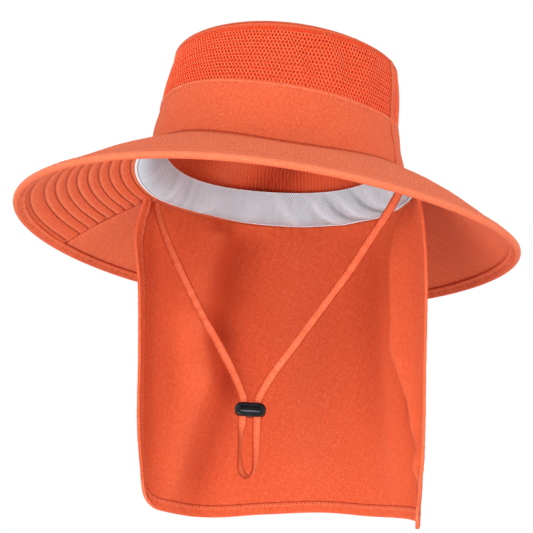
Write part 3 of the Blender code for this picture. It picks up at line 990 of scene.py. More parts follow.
class HAT_OT_lock(bpy.types.Operator):
    """Cord lock: a gloss rounded body with a front slot, a ribbed button on top and two strap slots"""
    bl_idname = "hat.lock"
    bl_label = "Cord lock"

    def execute(self, context):
        left, right = (np.array(STRAP_ROUTE[index][:3]) for index in STRAP_LOCK_POINTS)
        centre = (left + right) / 2.0
        turn = math.radians(LOCK_TURN)
        spin = Matrix.Translation(Vector(centre)) @ Matrix.Rotation(turn, 4, "Z")
        gloss = shared_look(plastic_look, "gloss plastic", tuple(context.scene.hat_colours.plastic))
        radius = LOCK_HEIGHT / 2.0
        straight = LOCK_LENGTH / 2.0 - radius
        arc = np.radians(np.linspace(-90.0, 90.0, 15))
        right_end = np.stack((straight + radius * np.cos(arc), radius * np.sin(arc)), axis=-1)
        outline = np.concatenate((right_end, -right_end))
        profile = (
            # depth share of half, inset m
            (-1.0, LOCK_EDGE), (-0.97, LOCK_EDGE / 2.0), (-0.90, 0.00025), (-0.80, 0.0), (0.80, 0.0),
            (0.90, 0.00025), (0.97, LOCK_EDGE / 2.0), (1.0, LOCK_EDGE),
        )
        rings = []
        for deep, inset in profile:
            shrink = np.array(((LOCK_LENGTH / 2.0 - inset) / (LOCK_LENGTH / 2.0), (radius - inset) / radius))
            flat = outline * shrink
            rings.append(np.stack((flat[:, 0], np.full(len(flat), deep * LOCK_DEPTH / 2.0), flat[:, 1]), -1))
        sides = len(outline)
        r, c = np.meshgrid(np.arange(len(rings) - 1), np.arange(sides), indexing="ij")
        faces = grid_quads(r, c, sides).tolist()
        faces += [list(range(sides))[::-1], list(range((len(rings) - 1) * sides, len(rings) * sides))]
        body = add_piece("cord_lock_body", np.concatenate(rings), faces, gloss, sharp=35.0)
        slot = (LOCK_LENGTH * LOCK_SLOT[0],) + LOCK_SLOT[1:]
        strap = (STRAP_WIDTH + LOCK_STRAP_CLEARANCE, STRAP_CLOTH + LOCK_STRAP_CLEARANCE, LOCK_HEIGHT * 2.0)
        cuts = [("front slot", (0.0, -LOCK_DEPTH / 2.0, LOCK_SLOT_RISE), slot)]
        for name, place in (("left slot", left), ("right slot", right)):
            offset = np.array((np.dot(place - centre, (math.cos(turn), math.sin(turn), 0.0)), 0.0, 0.0))
            cuts.append((name, offset, strap))
        corners = np.array([(x, y, z) for x in (-0.5, 0.5) for y in (-0.5, 0.5) for z in (-0.5, 0.5)])
        box = [(0, 1, 3, 2), (4, 6, 7, 5), (0, 4, 5, 1), (2, 3, 7, 6), (0, 2, 6, 4), (1, 5, 7, 3)]
        for name, place, size in cuts:
            mesh = bpy.data.meshes.new(name)
            mesh.from_pydata((corners * size + np.array(place)).tolist(), [], box)
            cutter = bpy.data.objects.new(name, mesh)
            context.scene.collection.objects.link(cutter)
            cut = body.modifiers.new(name, "BOOLEAN")
            cut.operation, cut.object = "DIFFERENCE", cutter
            with context.temp_override(object=body, active_object=body, selected_objects=[body]):
                bpy.ops.object.modifier_apply(modifier=name)
            bpy.data.objects.remove(cutter)
        body.data.transform(spin)
        body.data.set_sharp_from_angle(angle=math.radians(35.0))
        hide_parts("cord_lock")

        # The sprung button's ribbed top and the lip under the front slot, in paler plastic as a painted
        # highlight
        bumps = [((LOCK_RIB_PITCH * number, 0.0, radius - 0.0002), (0.00055, 0.0022, 0.00065))
                 for number in (-2, -1, 0, 1, 2)]
        bumps.append(((0.0, -LOCK_DEPTH / 2.0 + 0.0001, -0.0014), (LOCK_LENGTH * 0.34, 0.0006, 0.00045)))
        vertices, faces = [], []
        for place, size in bumps:
            first, levels, round_ball = sum(len(block) for block in vertices), 7, 16
            slope, twist = np.meshgrid(np.radians(np.linspace(-75.0, 75.0, levels)),
                                       2.0 * math.pi / round_ball * np.arange(round_ball), indexing="ij")
            ball = np.stack((np.cos(slope) * np.cos(twist), np.cos(slope) * np.sin(twist), np.sin(slope)), -1)
            vertices.append(ball.reshape(-1, 3) * size + place)
            r, c = np.meshgrid(np.arange(levels - 1), np.arange(round_ball), indexing="ij")
            faces += (grid_quads(r, c, round_ball) + first).tolist()
            rim = first + np.arange(round_ball)
            faces += [rim[::-1].tolist(), (rim + (levels - 1) * round_ball).tolist()]
        # Paler plastic: a painted highlight on the ribs and the lip
        painted_highlight = shared_look(plastic_look, "rubbed plastic", (0.075, 0.085, 0.10, 1.0))
        ribs = add_piece("cord_lock_ribs", np.concatenate(vertices), faces, painted_highlight, sharp=60.0)
        ribs.data.transform(spin)
        return {"FINISHED"}


class HAT_OT_crown_top(bpy.types.Operator):
    """Plain top panel of the crown, a soft dome with a rolled edge over the net"""
    bl_idname = "hat.crown_top"
    bl_label = "Crown top"

    def execute(self, context):
        def chart(turn, share):
            point = dome_point(turn, share)
            return point[..., 0], point[..., 1]

        def rolled(turn, share):
            edge = 0.0003 * ridge(share, 0.0, 0.04) - 0.0002 * ridge(share, 0.075, 0.015)
            return edge + 0.00010 * puckers(turn * TOP_ARC, 0.4) * ridge(share, 0.10, 0.05)

        shares = np.concatenate((np.linspace(0.0, 0.14, 12)[:-1], np.linspace(0.14, 1.0, 34)))
        # The top panel's outer tone is painted shade, darkest at its edge
        top = cloth_sheet("crown_top_cloth", dome_point, np.arange(0.0, 360.0, 1.25), shares, CROWN_CLOTH,
                          hat_cloth(), chart, closed=True, capped=True, outer=rolled,
                          outer_tone=lambda turn, share: -0.45 * np.exp(-share / 0.25))
        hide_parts("crown_top")
        return {"FINISHED"}


def dome_point(turn, share):
    """Points on the crown's top panel: share 0 at its edge, 1 at the middle."""
    angle = np.radians(89.5 * share)
    lift = np.sin(angle)
    point = ellipse(CROWN_TOP, turn) * np.cos(angle)[..., None]
    sag = 0.0009 * np.sin(np.radians(turn * 2.0 + 40.0)) * lift * (1.0 - lift) * 4.0
    sag -= DOME_TILT * np.sin(np.radians(turn)) * lift * (1.0 - lift) * 4.0
    point[..., 0] += crown_lean(CROWN_HEIGHT)
    point[..., 2] = CROWN_HEIGHT - 0.0010 * np.clip(1.0 - share / 0.03, 0.0, None) + DOME_HEIGHT * lift + sag
    return point


def net_panel(name, start, columns, rows, sizes, material):
    """Half of the net: a honeycomb of cells, each with a slanting oval hole through it."""
    pitch, half = sizes.pitch, NET_CLOTH / 2.0
    step = 360.0 / columns
    unit_up = pitch / math.sqrt(12.0)
    i, r = np.meshgrid(np.arange(columns // 2), np.arange(rows), indexing="ij")
    i, r = i.ravel()[:, None], r.ravel()[:, None]
    corner_x, corner_y = np.array((1, 0, -1, -1, 0, 1)), np.array((1, 2, 1, -1, -2, -1))
    keys = np.stack((2 * i + r % 2 + corner_x, 3 * r + corner_y), axis=-1).reshape(-1, 2)
    lattice, corner = np.unique(keys, axis=0, return_inverse=True)
    corner = corner.reshape(-1, 6)
    angle = np.radians(30.0 + 60.0 * np.arange(6))
    wide, high = sizes.hole_width / 2.0 * np.cos(angle), sizes.hole_height / 2.0 * np.sin(angle)
    slant = np.radians(np.where(r % 2 == 0, HOLE_SLANT, -HOLE_SLANT))
    uneven = 1.0 + 0.10 * np.sin(i * 12.9898 + r * 78.233)
    hole_x = (2 * i + r % 2) + 2.0 * (wide * np.cos(slant) + high * np.sin(slant)) * uneven
    hole_y = 3 * r + math.sqrt(12.0) * (high * np.cos(slant) - wide * np.sin(slant)) * uneven
    x = np.concatenate((lattice[:, 0], hole_x.ravel())) * step / 2.0 + start
    y = np.concatenate((lattice[:, 1], hole_y.ravel())) * unit_up + BAND_HEIGHT
    count = len(x)
    points, normals = surface(crown_point, x, y)
    points = points + normals * net_dents(x, y)[:, None]
    rib = np.where(np.arange(count) < len(lattice), 0.00020, -0.00008)[:, None]
    vertices = np.concatenate((points + normals * (half + rib), points - normals * half))
    hole = len(lattice) + np.arange(len(corner) * 6).reshape(-1, 6)
    after = np.roll(np.arange(6), -1)
    top = np.stack((corner, corner[:, after], hole[:, after], hole), axis=-1).reshape(-1, 4)
    wall = np.stack((hole, hole[:, after], hole[:, after] + count, hole + count), axis=-1).reshape(-1, 4)
    edges = np.stack((corner, corner[:, after]), axis=-1).reshape(-1, 2)
    _, first, uses = np.unique(np.sort(edges, axis=1), axis=0, return_index=True, return_counts=True)
    edge = edges[first[uses == 1]]
    border = np.stack((edge[:, 1], edge[:, 0], edge[:, 0] + count, edge[:, 1] + count), axis=-1)
    faces = np.concatenate((top, top[:, ::-1] + count, wall, border))
    places = np.stack((x * NET_ARC, y, 0.0 * x), axis=-1)
    chart = places[faces % count]
    # Painted highlight at the lattice's corners and painted shade at the holes' edges
    marks = np.tile(np.where(np.arange(count) < len(lattice), 1.0, -1.0), 2)
    return add_piece(name, vertices, faces.tolist(), material, chart, marks=marks)


def net_dents(turn, height):
    """Soft hollows and pulls in the net, away from its sewn edges."""
    dent = np.zeros_like(turn)
    for middle, level, lean, wide, tall, depth in NET_DENTS:
        across = off_turn(turn, middle + lean * (height - level))
        dent += depth * ridge(across, 0.0, wide) * ridge(height, level, tall)
    return dent * hump((height - BAND_HEIGHT) / MESH_HEIGHT) ** 0.7


class HAT_OT_crown_net(bpy.types.Operator):
    """Net of the crown in a front and a back panel with real holes, and the plain tape under the top seam"""
    bl_idname = "hat.crown_net"
    bl_label = "Crown net"

    def execute(self, context):
        sizes = context.scene.hat_net
        knit = shared_look(net_look, "coral net", tuple(context.scene.hat_colours.net))
        around = math.pi * (BAND_TOP[0] + BAND_TOP[1])
        columns = 2 * round(around / sizes.pitch / 2.0)
        rows = round(MESH_HEIGHT / (sizes.pitch * math.sqrt(0.75)))
        for name, node, start in (("net_front_cloth", "crown_mesh_front", -SIDE_SEAM_TURN),
                                  ("net_back_cloth", "crown_mesh_back", SIDE_SEAM_TURN)):
            panel = net_panel(name, start, columns, rows, sizes, knit)
            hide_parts(node)

        def taped(turn, height):
            return 0.0002 + 0.00012 * puckers(turn * TOP_ARC, 2.0, 0.004) * ridge(height, CROWN_HEIGHT, 0.003)

        # The tape is painted darker all over, as shade beneath the top seam
        tape = cloth_sheet("net_seam_tape", crown_point, np.arange(0.0, 360.0, 1.25),
                           np.linspace(CROWN_HEIGHT - 0.0026, CROWN_HEIGHT - 0.0004, 6), TAPE_CLOTH, knit,
                           lambda turn, height: (turn * NET_ARC, height), closed=True, outer=taped,
                           outer_tone=lambda turn, height: np.full_like(turn, -0.4))
        return {"FINISHED"}


def band_relief(turn, height):
    """Relief of the crown's plain band: rolled top edge, stitched groove, soft wrinkles, gathered foot."""
    arc = turn * BAND_ARC
    rolled = 0.00030 * ridge(height, BAND_HEIGHT, 0.0011)
    rolled -= 0.00008 * ridge(height, BAND_HEIGHT - BAND_ROW_DROP, 0.0006)
    foot = -0.0005 * ridge(height, 0.0004, 0.0007)
    gathers = ridge(height, 0.0, 0.005) + ridge(height, BAND_HEIGHT - 0.002, 0.003)
    gathers *= 0.00016 * puckers(arc, 0.7)
    soft = 0.00035 * np.sin(arc * 61.0 + height * 150.0 + 0.8) * np.sin(arc * 23.0 - height * 95.0 + 1.9)
    soft += 0.00022 * np.sin(arc * 143.0 - height * 260.0) * hump(height / BAND_HEIGHT)
    return rolled + foot + gathers + soft


def band_tone(turn, height):
    """Painted shade in the seam at the foot of the band, a painted highlight on the rolled edge along the net,
    and the whole band painted a little lighter.
    """
    return 0.10 + 0.5 * ridge(height, BAND_HEIGHT - 0.0002, 0.0008) - 1.3 * ridge(height, 0.0018, 0.00055)


# Painted highlight on the lining's ribs and broad waves, painted shade between them, and the inside painted a
# little darker
def lining_painted_light(turn, height):
    return 1800.0 * band_lining(turn, height) - 0.15


def band_lining(turn, height):
    """Fine upright ribs on the inner face of the crown's band."""
    ribs = np.sin(turn * BAND_ARC * 2.0 * math.pi / LINING_PITCH + 0.9 * np.sin(height * 420.0))
    return 0.00020 * ribs + 0.0004 * np.sin(turn * 0.11 + height * 60.0) * np.sin(turn * 0.037)


def seam_point(middle):
    """Points on a side seam's strip, which lies on the crown around the middle turn."""
    def place(across, height):
        turn = middle + across
        return crown_point(turn, height) + outward(turn) * SEAM_STRIP_LIFT
    return place


class HAT_OT_crown_band(bpy.types.Operator):
    """Plain band of the crown in a front and a back panel, the side seams and the crown's stitches"""
    bl_idname = "hat.crown_band"
    bl_label = "Crown band and seams"

    def execute(self, context):
        heights = np.concatenate((np.linspace(-BRIM_CLOTH / 2.0, 0.004, 14)[:-1],
                                  np.linspace(0.004, BAND_HEIGHT - 0.004, 22)[:-1],
                                  np.linspace(BAND_HEIGHT - 0.004, BAND_HEIGHT + 0.0005, 14)))
        for name, node, start in (("band_front_cloth", "crown_band_front", -SIDE_SEAM_TURN),
                                  ("band_back_cloth", "crown_band_back", SIDE_SEAM_TURN)):
            panel = cloth_sheet(name, crown_point, np.linspace(start, start + 180.0, 241), heights,
                                CROWN_CLOTH, hat_cloth(), lambda turn, height: (turn * BAND_ARC, height),
                                outer=band_relief, inner=band_lining, outer_tone=band_tone,
                                inner_tone=lining_painted_light)
            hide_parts(node)

        threads = Threads()
        circle = np.arange(0.0, 360.0, 1.0)
        rise = CROWN_CLOTH / 2.0 + 0.0001
        threads.sew(crown_point, circle, BAND_HEIGHT - BAND_ROW_DROP, rise, band_relief, closed=True)
        up = np.linspace(0.003, CROWN_HEIGHT - 0.003, 60)
        for name, middle in (("side_seam_left", SIDE_SEAM_TURN), ("side_seam_right", -SIDE_SEAM_TURN)):
            place = seam_point(middle)

            def folded(across, height):
                edges = ridge(across, -1.7, 0.5) + ridge(across, 1.7, 0.5)
                return 0.00015 - 0.00015 * edges + 0.00012 * puckers(height, middle, 0.0045) * edges

            # Each strip's outer tone is a painted highlight along one folded edge
            strip = cloth_sheet(name, place, np.linspace(-2.1, 2.1, 15), np.linspace(0.0006, CROWN_HEIGHT, 90),
                                0.0006, hat_cloth(), lambda across, height: (height, across * 0.0015),
                                outer=folded, outer_tone=lambda across, height: 0.5 * ridge(across, -1.7, 0.4))
            for across in (-1.35, 1.35):
                threads.sew(place, across, up, 0.00045)
        # Zigzag that closes the seam inside the crown
        zigzag = np.arange(0.0, 360.0, 0.9)
        height = 0.0332 + 0.0012 * np.where(np.arange(len(zigzag)) % 2 == 0, 1.0, -1.0)
        locked = Threads()
        locked.sew(crown_point, zigzag, height, rise + 0.0006, flip=True, closed=True, pitch=0.0021)
        dark = shared_look(thread_look, "dark thread", (0.10, 0.012, 0.006, 1.0))
        for name, group, look in (("crown_stitches", threads, hat_thread()), ("crown_zigzag", locked, dark)):
            sewn = group.piece(name, look)
        return {"FINISHED"}


def brim_start():
    """Share of the brim's width at which its cloth clears the crown's wall."""
    return (CROWN_CLOTH / 2.0 + GAP) / BRIM_WIDTH


def brim_chart(turn, share):
    return turn * BRIM_ARC, share * BRIM_WIDTH


def quilt_grooves():
    """Shares of the brim's width at which the quilting rows lie, from the crown out."""
    return sorted(1.0 - inset / BRIM_WIDTH for inset in QUILT_ROWS)


def row_share(turn, share):
    """Share across the front brim as its rows see it: they turn towards the rim at the panel seams."""
    return share - 0.010 * step_up(np.abs(turn), PANEL_SEAM_TURN - 4.0, PANEL_SEAM_TURN) ** 2


def quilting(turn, share, puff, crinkle):
    """Puffy channels between the quilting rows, with short crinkles that cross each row."""
    grooves = np.array([-0.02] + quilt_grooves() + [1.02])
    share = row_share(turn, share)
    row = np.clip(np.searchsorted(grooves, share) - 1, 0, len(grooves) - 2)
    across = np.clip((share - grooves[row]) / (grooves[row + 1] - grooves[row]), 0.0, 1.0)
    mound = np.sin(np.pi * across ** 1.2) ** 0.5
    arc = turn * BRIM_ARC
    creases = crinkle * puckers(arc, 1.3 * row, 0.0044) * (1.0 - 0.8 * mound)
    uneven = 1.0 + 0.14 * np.sin(arc * 71.0 + row * 2.1) + 0.10 * np.sin(arc * 173.0 - row * 1.1)
    return puff * mound * uneven * seam_pinch(turn) + creases - 0.0004 * (1.0 - seam_pinch(turn))


def quilt_tone(turn, share):
    """Each quilting row has painted shade in its groove and on its rim side and a painted highlight on the
    other, with painted streaks of light and shade across its crinkles, and painted shade along the panel
    seams.
    """
    share = row_share(turn, share)
    tone = np.zeros_like(share)
    for groove in quilt_grooves():
        away = (share - groove) * BRIM_WIDTH
        tone -= 0.85 * ridge(away, 0.0, 0.0005)
        tone -= 0.45 * np.where(away > 0.0, np.exp(-np.abs(away) / 0.0016), 0.0)
        tone += 0.75 * ridge(away, -0.0011, 0.0006)
    arc = turn * BRIM_ARC
    near = sum(ridge(share, groove, 0.018) for groove in quilt_grooves())
    streaks = 0.34 * puckers(arc, 0.6, 0.0030) * near
    return tone * (0.8 + 0.2 * puckers(arc, 2.0, 0.0048)) + streaks - 0.7 * (1.0 - seam_pinch(turn))


def seam_pinch(turn):
    """1 over the brim's panels, sinking to 0 at the seams between them."""
    away = np.abs(np.abs(off_turn(turn, 0.0)) - PANEL_SEAM_TURN)
    return step_up(away, 0.0, 0.95)


class HAT_OT_brim(bpy.types.Operator):
    """Brim: quilted front panel, plain back panel and the folded binding round the rim"""
    bl_idname = "hat.brim"
    bl_label = "Brim"

    def execute(self, context):
        sewing = context.scene.hat_sewing
        puff = sewing.quilt_puff
        seam = PANEL_SEAM_TURN
        inner_edge = 1.0 - sewing.binding_width / BRIM_WIDTH
        rim = 1.0 - 0.0012 / BRIM_WIDTH

        def under(turn, share):
            return quilting(turn, share, puff, 0.00022)

        def over(turn, share):
            return quilting(turn, share, puff * 0.40, 0.00030)

        # Painted shade in the quilting grooves and along the seam by the crown, the whole top face painted
        # lighter, and short dashes in the cloth
        def over_tone(turn, share):
            arc = turn * BRIM_ARC
            dashes = np.sin(arc * 2.0 * math.pi / 0.0031 + share * 300.0)
            dashes = dashes * np.sin(share * 2.0 * math.pi * 24.0)
            return 0.5 * quilt_tone(turn, share) + 0.30 + 0.60 * dashes - 1.0 * ridge(share, 0.010, 0.006)

        ends = np.array((0.0, 0.12, 0.25, 0.4, 0.6, 1.0, 1.6, 2.3, 3.1))
        columns = np.concatenate((ends - seam, np.linspace(4.0 - seam, seam - 4.0, 310), seam - ends[::-1]))
        # Five rows lie close round each groove, so that it stays sharp
        near = np.array((-0.0011, -0.0005, 0.0, 0.0004, 0.0010)) / BRIM_WIDTH
        grooves = [groove + step for groove in quilt_grooves() for step in near]
        spaced = [share for share in np.linspace(brim_start(), rim, 60)
                  if min(abs(share - groove) for groove in grooves) > 0.0006 / BRIM_WIDTH]
        rows = np.array(sorted(spaced + grooves))
        front = cloth_sheet("brim_front_cloth", brim_point, columns, rows, BRIM_CLOTH, hat_cloth(),
                            brim_chart, flip=True, outer=over, inner=under, outer_tone=over_tone,
                            inner_tone=quilt_tone)
        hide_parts("brim_front")

        def rippled(turn, share):
            arc = turn * BRIM_ARC
            soft = 0.0005 * np.sin(arc * 37.0 + share * 5.0) * np.sin(np.pi * share)
            edges = ridge(share, inner_edge, 0.06) + ridge(share, 0.0, 0.05)
            return soft + 0.00025 * puckers(arc, 3.1, 0.008) * edges - 0.0004 * (1.0 - seam_pinch(turn))

        def rippled_under(turn, share):
            return -rippled(turn, share) - 0.0008 * (1.0 - seam_pinch(turn))

        columns = np.concatenate((ends + seam, np.linspace(seam + 4.0, 356.0 - seam, 240),
                                  360.0 - seam - ends[::-1]))
        # The underside is painted lighter all over, with painted shade along the panel seams
        back = cloth_sheet("brim_back_cloth", brim_point, columns,
                           np.linspace(brim_start(), rim, 60), BRIM_CLOTH, hat_cloth(), brim_chart, flip=True,
                           outer=rippled, inner=rippled_under,
                           inner_tone=lambda turn, share: 0.45 - 1.0 * (1.0 - seam_pinch(turn)))
        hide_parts("brim_back")

        radius = BRIM_CLOTH / 2.0 + GAP + BINDING_CLOTH / 2.0
        flat = np.array((0.0, 0.03, 0.07, 0.11, 0.15, 0.19, 0.24, 0.30, 0.42, 0.58, 0.78, 1.0))
        bend = np.radians(np.linspace(90.0, -90.0, 13))
        fold = 1.0 - radius / BRIM_WIDTH
        shares = np.concatenate((inner_edge + (fold - inner_edge) * flat[:-1],
                                 fold + radius / BRIM_WIDTH * np.cos(bend),
                                 fold + (inner_edge - fold) * flat[1:]))
        lifts = np.concatenate((np.full(11, radius), radius * np.sin(bend), np.full(11, -radius)))
        places = np.linspace(0.0, 1.0, len(shares))

        def binding_point(turn, place):
            return brim_point(turn, np.interp(place, places, shares), np.interp(place, places, lifts))

        def bound(turn, place):
            arc = turn * BINDING_ARC
            inset = np.minimum(place, 1.0 - place)
            hem = 0.00040 * step_up(inset, 0.0, 0.035) - 0.00040 * ridge(inset, BINDING_ROW, 0.018)
            cross = 0.00034 * puckers(arc, 0.9, 0.0036) * ridge(inset, 0.08, 0.15)
            return hem + cross

        # Painted sheen along the rim's round edge, painted highlights near the inner edges, painted light and
        # shade across the puckers, and painted shade at the binding's inner edges
        def binding_painted_light(turn, place):
            arc = turn * BINDING_ARC
            inset = np.minimum(place, 1.0 - place)
            cross = 0.35 * puckers(arc, 0.9, 0.0036) * ridge(inset, 0.10, 0.12)
            pale = 0.95 * ridge(place, 0.42, 0.16) + 0.5 * ridge(inset, 0.045, 0.02)
            return pale + cross - 0.9 * ridge(inset, 0.0, 0.015)

        circle = np.arange(0.0, 360.0, 0.6)
        binding = cloth_sheet("binding_cloth", binding_point, circle, places, BINDING_CLOTH, hat_cloth(),
                              lambda turn, place: (turn * BINDING_ARC, place * BINDING_GIRTH),
                              closed=True, flip=True, outer=bound, outer_tone=binding_painted_light)
        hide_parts("brim_binding")

        threads = Threads()
        half = BRIM_CLOTH / 2.0
        for inset in QUILT_ROWS:
            share = 1.0 - inset / BRIM_WIDTH
            turns = np.linspace(-seam + 0.6, seam - 0.6, 200)
            threads.sew(brim_point, turns, share, half + 0.00006, flip=True)
            threads.sew(brim_point, turns, share, half + 0.00006)
        for place in (BINDING_ROW, 1.0 - BINDING_ROW):
            threads.sew(binding_point, circle, place, BINDING_CLOTH / 2.0 + 0.00008, bound, flip=True,
                        closed=True)
        for side in (-1.0, 1.0):
            for across in (-0.8, 0.8):
                for flip in (False, True):
                    threads.sew(brim_point, side * (seam + across), np.linspace(0.06, inner_edge, 50),
                                half + 0.00015, flip=flip)
        sewn = threads.piece("brim_stitches", hat_thread())
        return {"FINISHED"}


def sweatband_point(turn, rise):
    """Points on the sweatband, one smooth bow: rise 0 at its lower outer edge, 1 at its free upper edge."""
    under = GAP + SWEATBAND_CLOTH / 2.0
    tucked = 0.0040 * ridge(turn % 360.0, 240.0, 22.0)
    lip = below_brim(turn, SWEATBAND_SPREAD - tucked, under)
    away = outward(turn)
    corner = base_ring(turn) - away * ((CROWN_CLOTH + SWEATBAND_CLOTH) / 2.0 + GAP)
    corner[..., 2] = seam_height(turn) - BRIM_CLOTH / 2.0 - under
    free = corner - away * SWEATBAND_LEAN
    free[..., 2] = seam_height(turn) + SWEATBAND_RISE
    bend = 2.0 * corner - (lip + free) / 2.0
    t = rise[..., None]
    return lip * (1.0 - t) ** 2 + bend * 2.0 * t * (1.0 - t) + free * t * t


def band_folds(turn, rise):
    """Broad soft folds that slant across the sweatband."""
    fold = np.zeros_like(rise)
    for middle, lean, wide, height in SWEATBAND_FOLDS:
        fold += height * ridge(off_turn(turn, middle + lean * (rise - 0.5)), 0.0, wide)
    return fold * hump(rise) ** 0.6


class HAT_OT_sweatband(bpy.types.Operator):
    """Sweatband: light grey twill with a piped lower edge, soft gathers and a folded free edge"""
    bl_idname = "hat.sweatband"
    bl_label = "Sweatband"

    def execute(self, context):
        twill = shared_look(twill_look, "grey twill", tuple(context.scene.hat_colours.band))

        def relief(turn, rise):
            arc = turn * SWEATBAND_ARC
            piping = 0.0006 * np.sqrt(np.clip(1.0 - ((rise - 0.035) / 0.040) ** 2, 0.0, 1.0))
            grooves = -0.00035 * ridge(rise, SWEATBAND_ROW, 0.018)
            gathers = 0.00022 * puckers(arc, 0.2, 0.0125) * hump(rise) ** 0.5
            fine = 0.00010 * puckers(arc, 2.2, 0.0032) * (ridge(rise, 0.12, 0.06) + ridge(rise, 0.92, 0.05))
            return piping + grooves + gathers + fine + band_folds(turn, rise)

        rises = np.concatenate((np.linspace(0.0, 0.14, 16)[:-1], np.linspace(0.14, 0.86, 20)[:-1],
                                np.linspace(0.86, 1.0, 12)))
        turns = np.arange(0.0, 360.0, 0.75)
        # The inner face's tone is painted light and shade across the broad folds
        band = cloth_sheet("sweatband_cloth", sweatband_point, turns, rises, SWEATBAND_CLOTH, twill,
                           lambda turn, rise: (turn * SWEATBAND_ARC, rise * SWEATBAND_GIRTH), closed=True,
                           inner=relief, inner_tone=lambda turn, rise: 600.0 * band_folds(turn, rise))
        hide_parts("sweatband")
        threads = Threads()
        threads.sew(sweatband_point, turns, SWEATBAND_ROW, SWEATBAND_CLOTH / 2.0 + 0.00008, relief,
                    flip=True, closed=True)
        grey = shared_look(thread_look, "grey thread",
                           tinted(context.scene.hat_colours.band, 0.85, 0.85, 0.85))
        sewn = threads.piece("sweatband_stitches", grey)
        return {"FINISHED"}


def flap_insets(side, down):
    """Metres in from the flap's two side edges and its hem."""
    return side * FLAP_WIDTH, (1.0 - side) * FLAP_WIDTH, (1.0 - down) * FLAP_DROP


def flap_relief(hem, inside):
    """Relief of one face of the flap: turned hem, its stitched groove, and puckers across it."""
    def relief(side, down):
        insets = flap_insets(side, down)
        along = (down * FLAP_DROP, down * FLAP_DROP, side * FLAP_WIDTH)
        turned = 0.00050 if inside else 0.00022
        rise = turned * np.maximum.reduce([step_up(hem - inset, 0.0, 0.0007) for inset in insets])
        for inset, run in zip(insets, along):
            rise = rise - 0.00030 * ridge(inset, hem - HEM_ROW_INSET, 0.0005)
            rise = rise + 0.00022 * puckers(run, 1.1, 0.0060) * ridge(inset, hem - 0.0005, 0.0042)
        fine = 0.00010 * np.sin(side * 233.0 + down * 61.0) * np.sin(side * 87.0 - down * 143.0)
        top = 0.00035 * puckers(side * FLAP_WIDTH, 0.3, 0.0085) * np.exp(-down / 0.05)
        return rise + (fine + top) * (1.0 if inside else -1.0)
    return relief


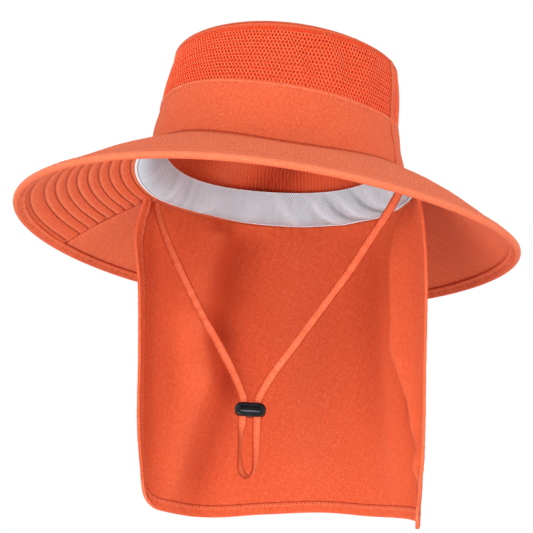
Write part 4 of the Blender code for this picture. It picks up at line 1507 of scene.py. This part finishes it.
class HAT_OT_flap(bpy.types.Operator):
    """Neck flap: one cloth curtain from ear to ear round the back, with turned and stitched hems"""
    bl_idname = "hat.flap"
    bl_label = "Neck flap"

    def execute(self, context):
        hem = context.scene.hat_sewing.hem_width
        shares = np.linspace(0.0, 1.0, 190)
        near = np.linspace(0.0, 0.030, 18)
        sides = np.unique(np.round(np.concatenate((shares, near, 1.0 - near)), 5))
        downs = np.unique(np.round(np.concatenate((np.linspace(0.0, 1.0, 130), 1.0 - near * 1.4)), 5))
        outer, inner = flap_relief(hem, False), flap_relief(hem, True)

        # Painted highlight at the flap's edges and beside the hem's turned edge, and painted shade along that
        # turned edge
        def painted_light(side, down):
            insets = flap_insets(side, down)
            lines = sum(ridge(inset, hem - 0.0004, 0.0006) for inset in insets)
            painted_highlight = sum(ridge(inset, 0.0004, 0.0008) + ridge(inset, hem - 0.0018, 0.0007) for inset in insets)
            return 0.4 * painted_highlight - 0.7 * lines

        # Painted light and shade across the drape folds, a painted highlight on the folded-back front edge and
        # painted shade behind it
        def painted_light_inside(side, down):
            drape = flap_folds(side, down)
            past = side - np.interp(down, *zip(*FLAP_EDGE_FOLD))
            shade = np.where(past > 0.0, ridge(past, 0.0, 0.11), 0.0) * step_up(down, 0.02, 0.12)
            painted_fold_light = 0.8 * ridge(past, -0.003, 0.004) - 0.55 * shade
            return painted_light(side, down) - 60.0 * np.where(drape > 0.0, drape, 0.5 * drape) + painted_fold_light

        flap = cloth_sheet("neck_flap_cloth", flap_point, sides, downs, FLAP_CLOTH, hat_cloth(),
                           lambda side, down: (side * FLAP_WIDTH, down * FLAP_DROP), flip=True,
                           outer=outer, inner=inner, outer_tone=painted_light, inner_tone=painted_light_inside)
        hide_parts("neck_flap")
        threads = Threads()
        seam = hem - HEM_ROW_INSET
        inset = seam / FLAP_WIDTH
        rows = [(edge, np.linspace(0.01, 0.975, 120)) for edge in (inset, 1.0 - inset)]
        rows.append((np.linspace(inset, 1.0 - inset, 200), 1.0 - seam / FLAP_DROP))
        for side, down in rows:
            threads.sew(flap_point, side, down, FLAP_CLOTH / 2.0 + 0.0001, inner)
            threads.sew(flap_point, side, down, FLAP_CLOTH / 2.0 + 0.0001, outer, flip=True)
        sewn = threads.piece("flap_stitches", hat_thread())
        return {"FINISHED"}


class HAT_PT_panel(bpy.types.Panel):
    """Sizes, colours and pieces of the sun hat"""
    bl_idname = "HAT_PT_panel"
    bl_label = "Sun Hat"
    bl_space_type = "VIEW_3D"
    bl_region_type = "UI"
    bl_category = "Sun Hat"

    def draw(self, context):
        for group in (context.scene.hat_colours, context.scene.hat_sewing, context.scene.hat_net,
                      context.scene.hat_stage):
            box = self.layout.box()
            for name in group.__annotations__:
                box.prop(group, name)
        for operator in OPERATORS:
            self.layout.operator(operator.bl_idname)


GROUPS = {"hat_colours": HatColours, "hat_sewing": HatSewing, "hat_net": HatNet, "hat_stage": HatStage}
OPERATORS = (HAT_OT_stage, HAT_OT_lock, HAT_OT_strap, HAT_OT_flap, HAT_OT_brim, HAT_OT_sweatband,
             HAT_OT_crown_band, HAT_OT_crown_net, HAT_OT_crown_top)


def register():
    for group in GROUPS.values():
        bpy.utils.register_class(group)
    for name, group in GROUPS.items():
        setattr(bpy.types.Scene, name, bpy.props.PointerProperty(type=group))
    for kind in OPERATORS + (HAT_PT_panel,):
        bpy.utils.register_class(kind)


def unregister():
    for kind in reversed(OPERATORS + (HAT_PT_panel,)):
        bpy.utils.unregister_class(kind)
    for name, group in GROUPS.items():
        delattr(bpy.types.Scene, name)
        bpy.utils.unregister_class(group)


def main():
    register()
    for operator in OPERATORS:
        name = operator.bl_idname.split(".")[1]
        if getattr(bpy.ops.hat, name)() != {"FINISHED"}:
            raise RuntimeError(f"{operator.bl_label} could not be made")
    # The white background stays white in the picture
    bpy.context.scene.view_settings.view_transform = "Standard"


if __name__ == "__main__":
    main()
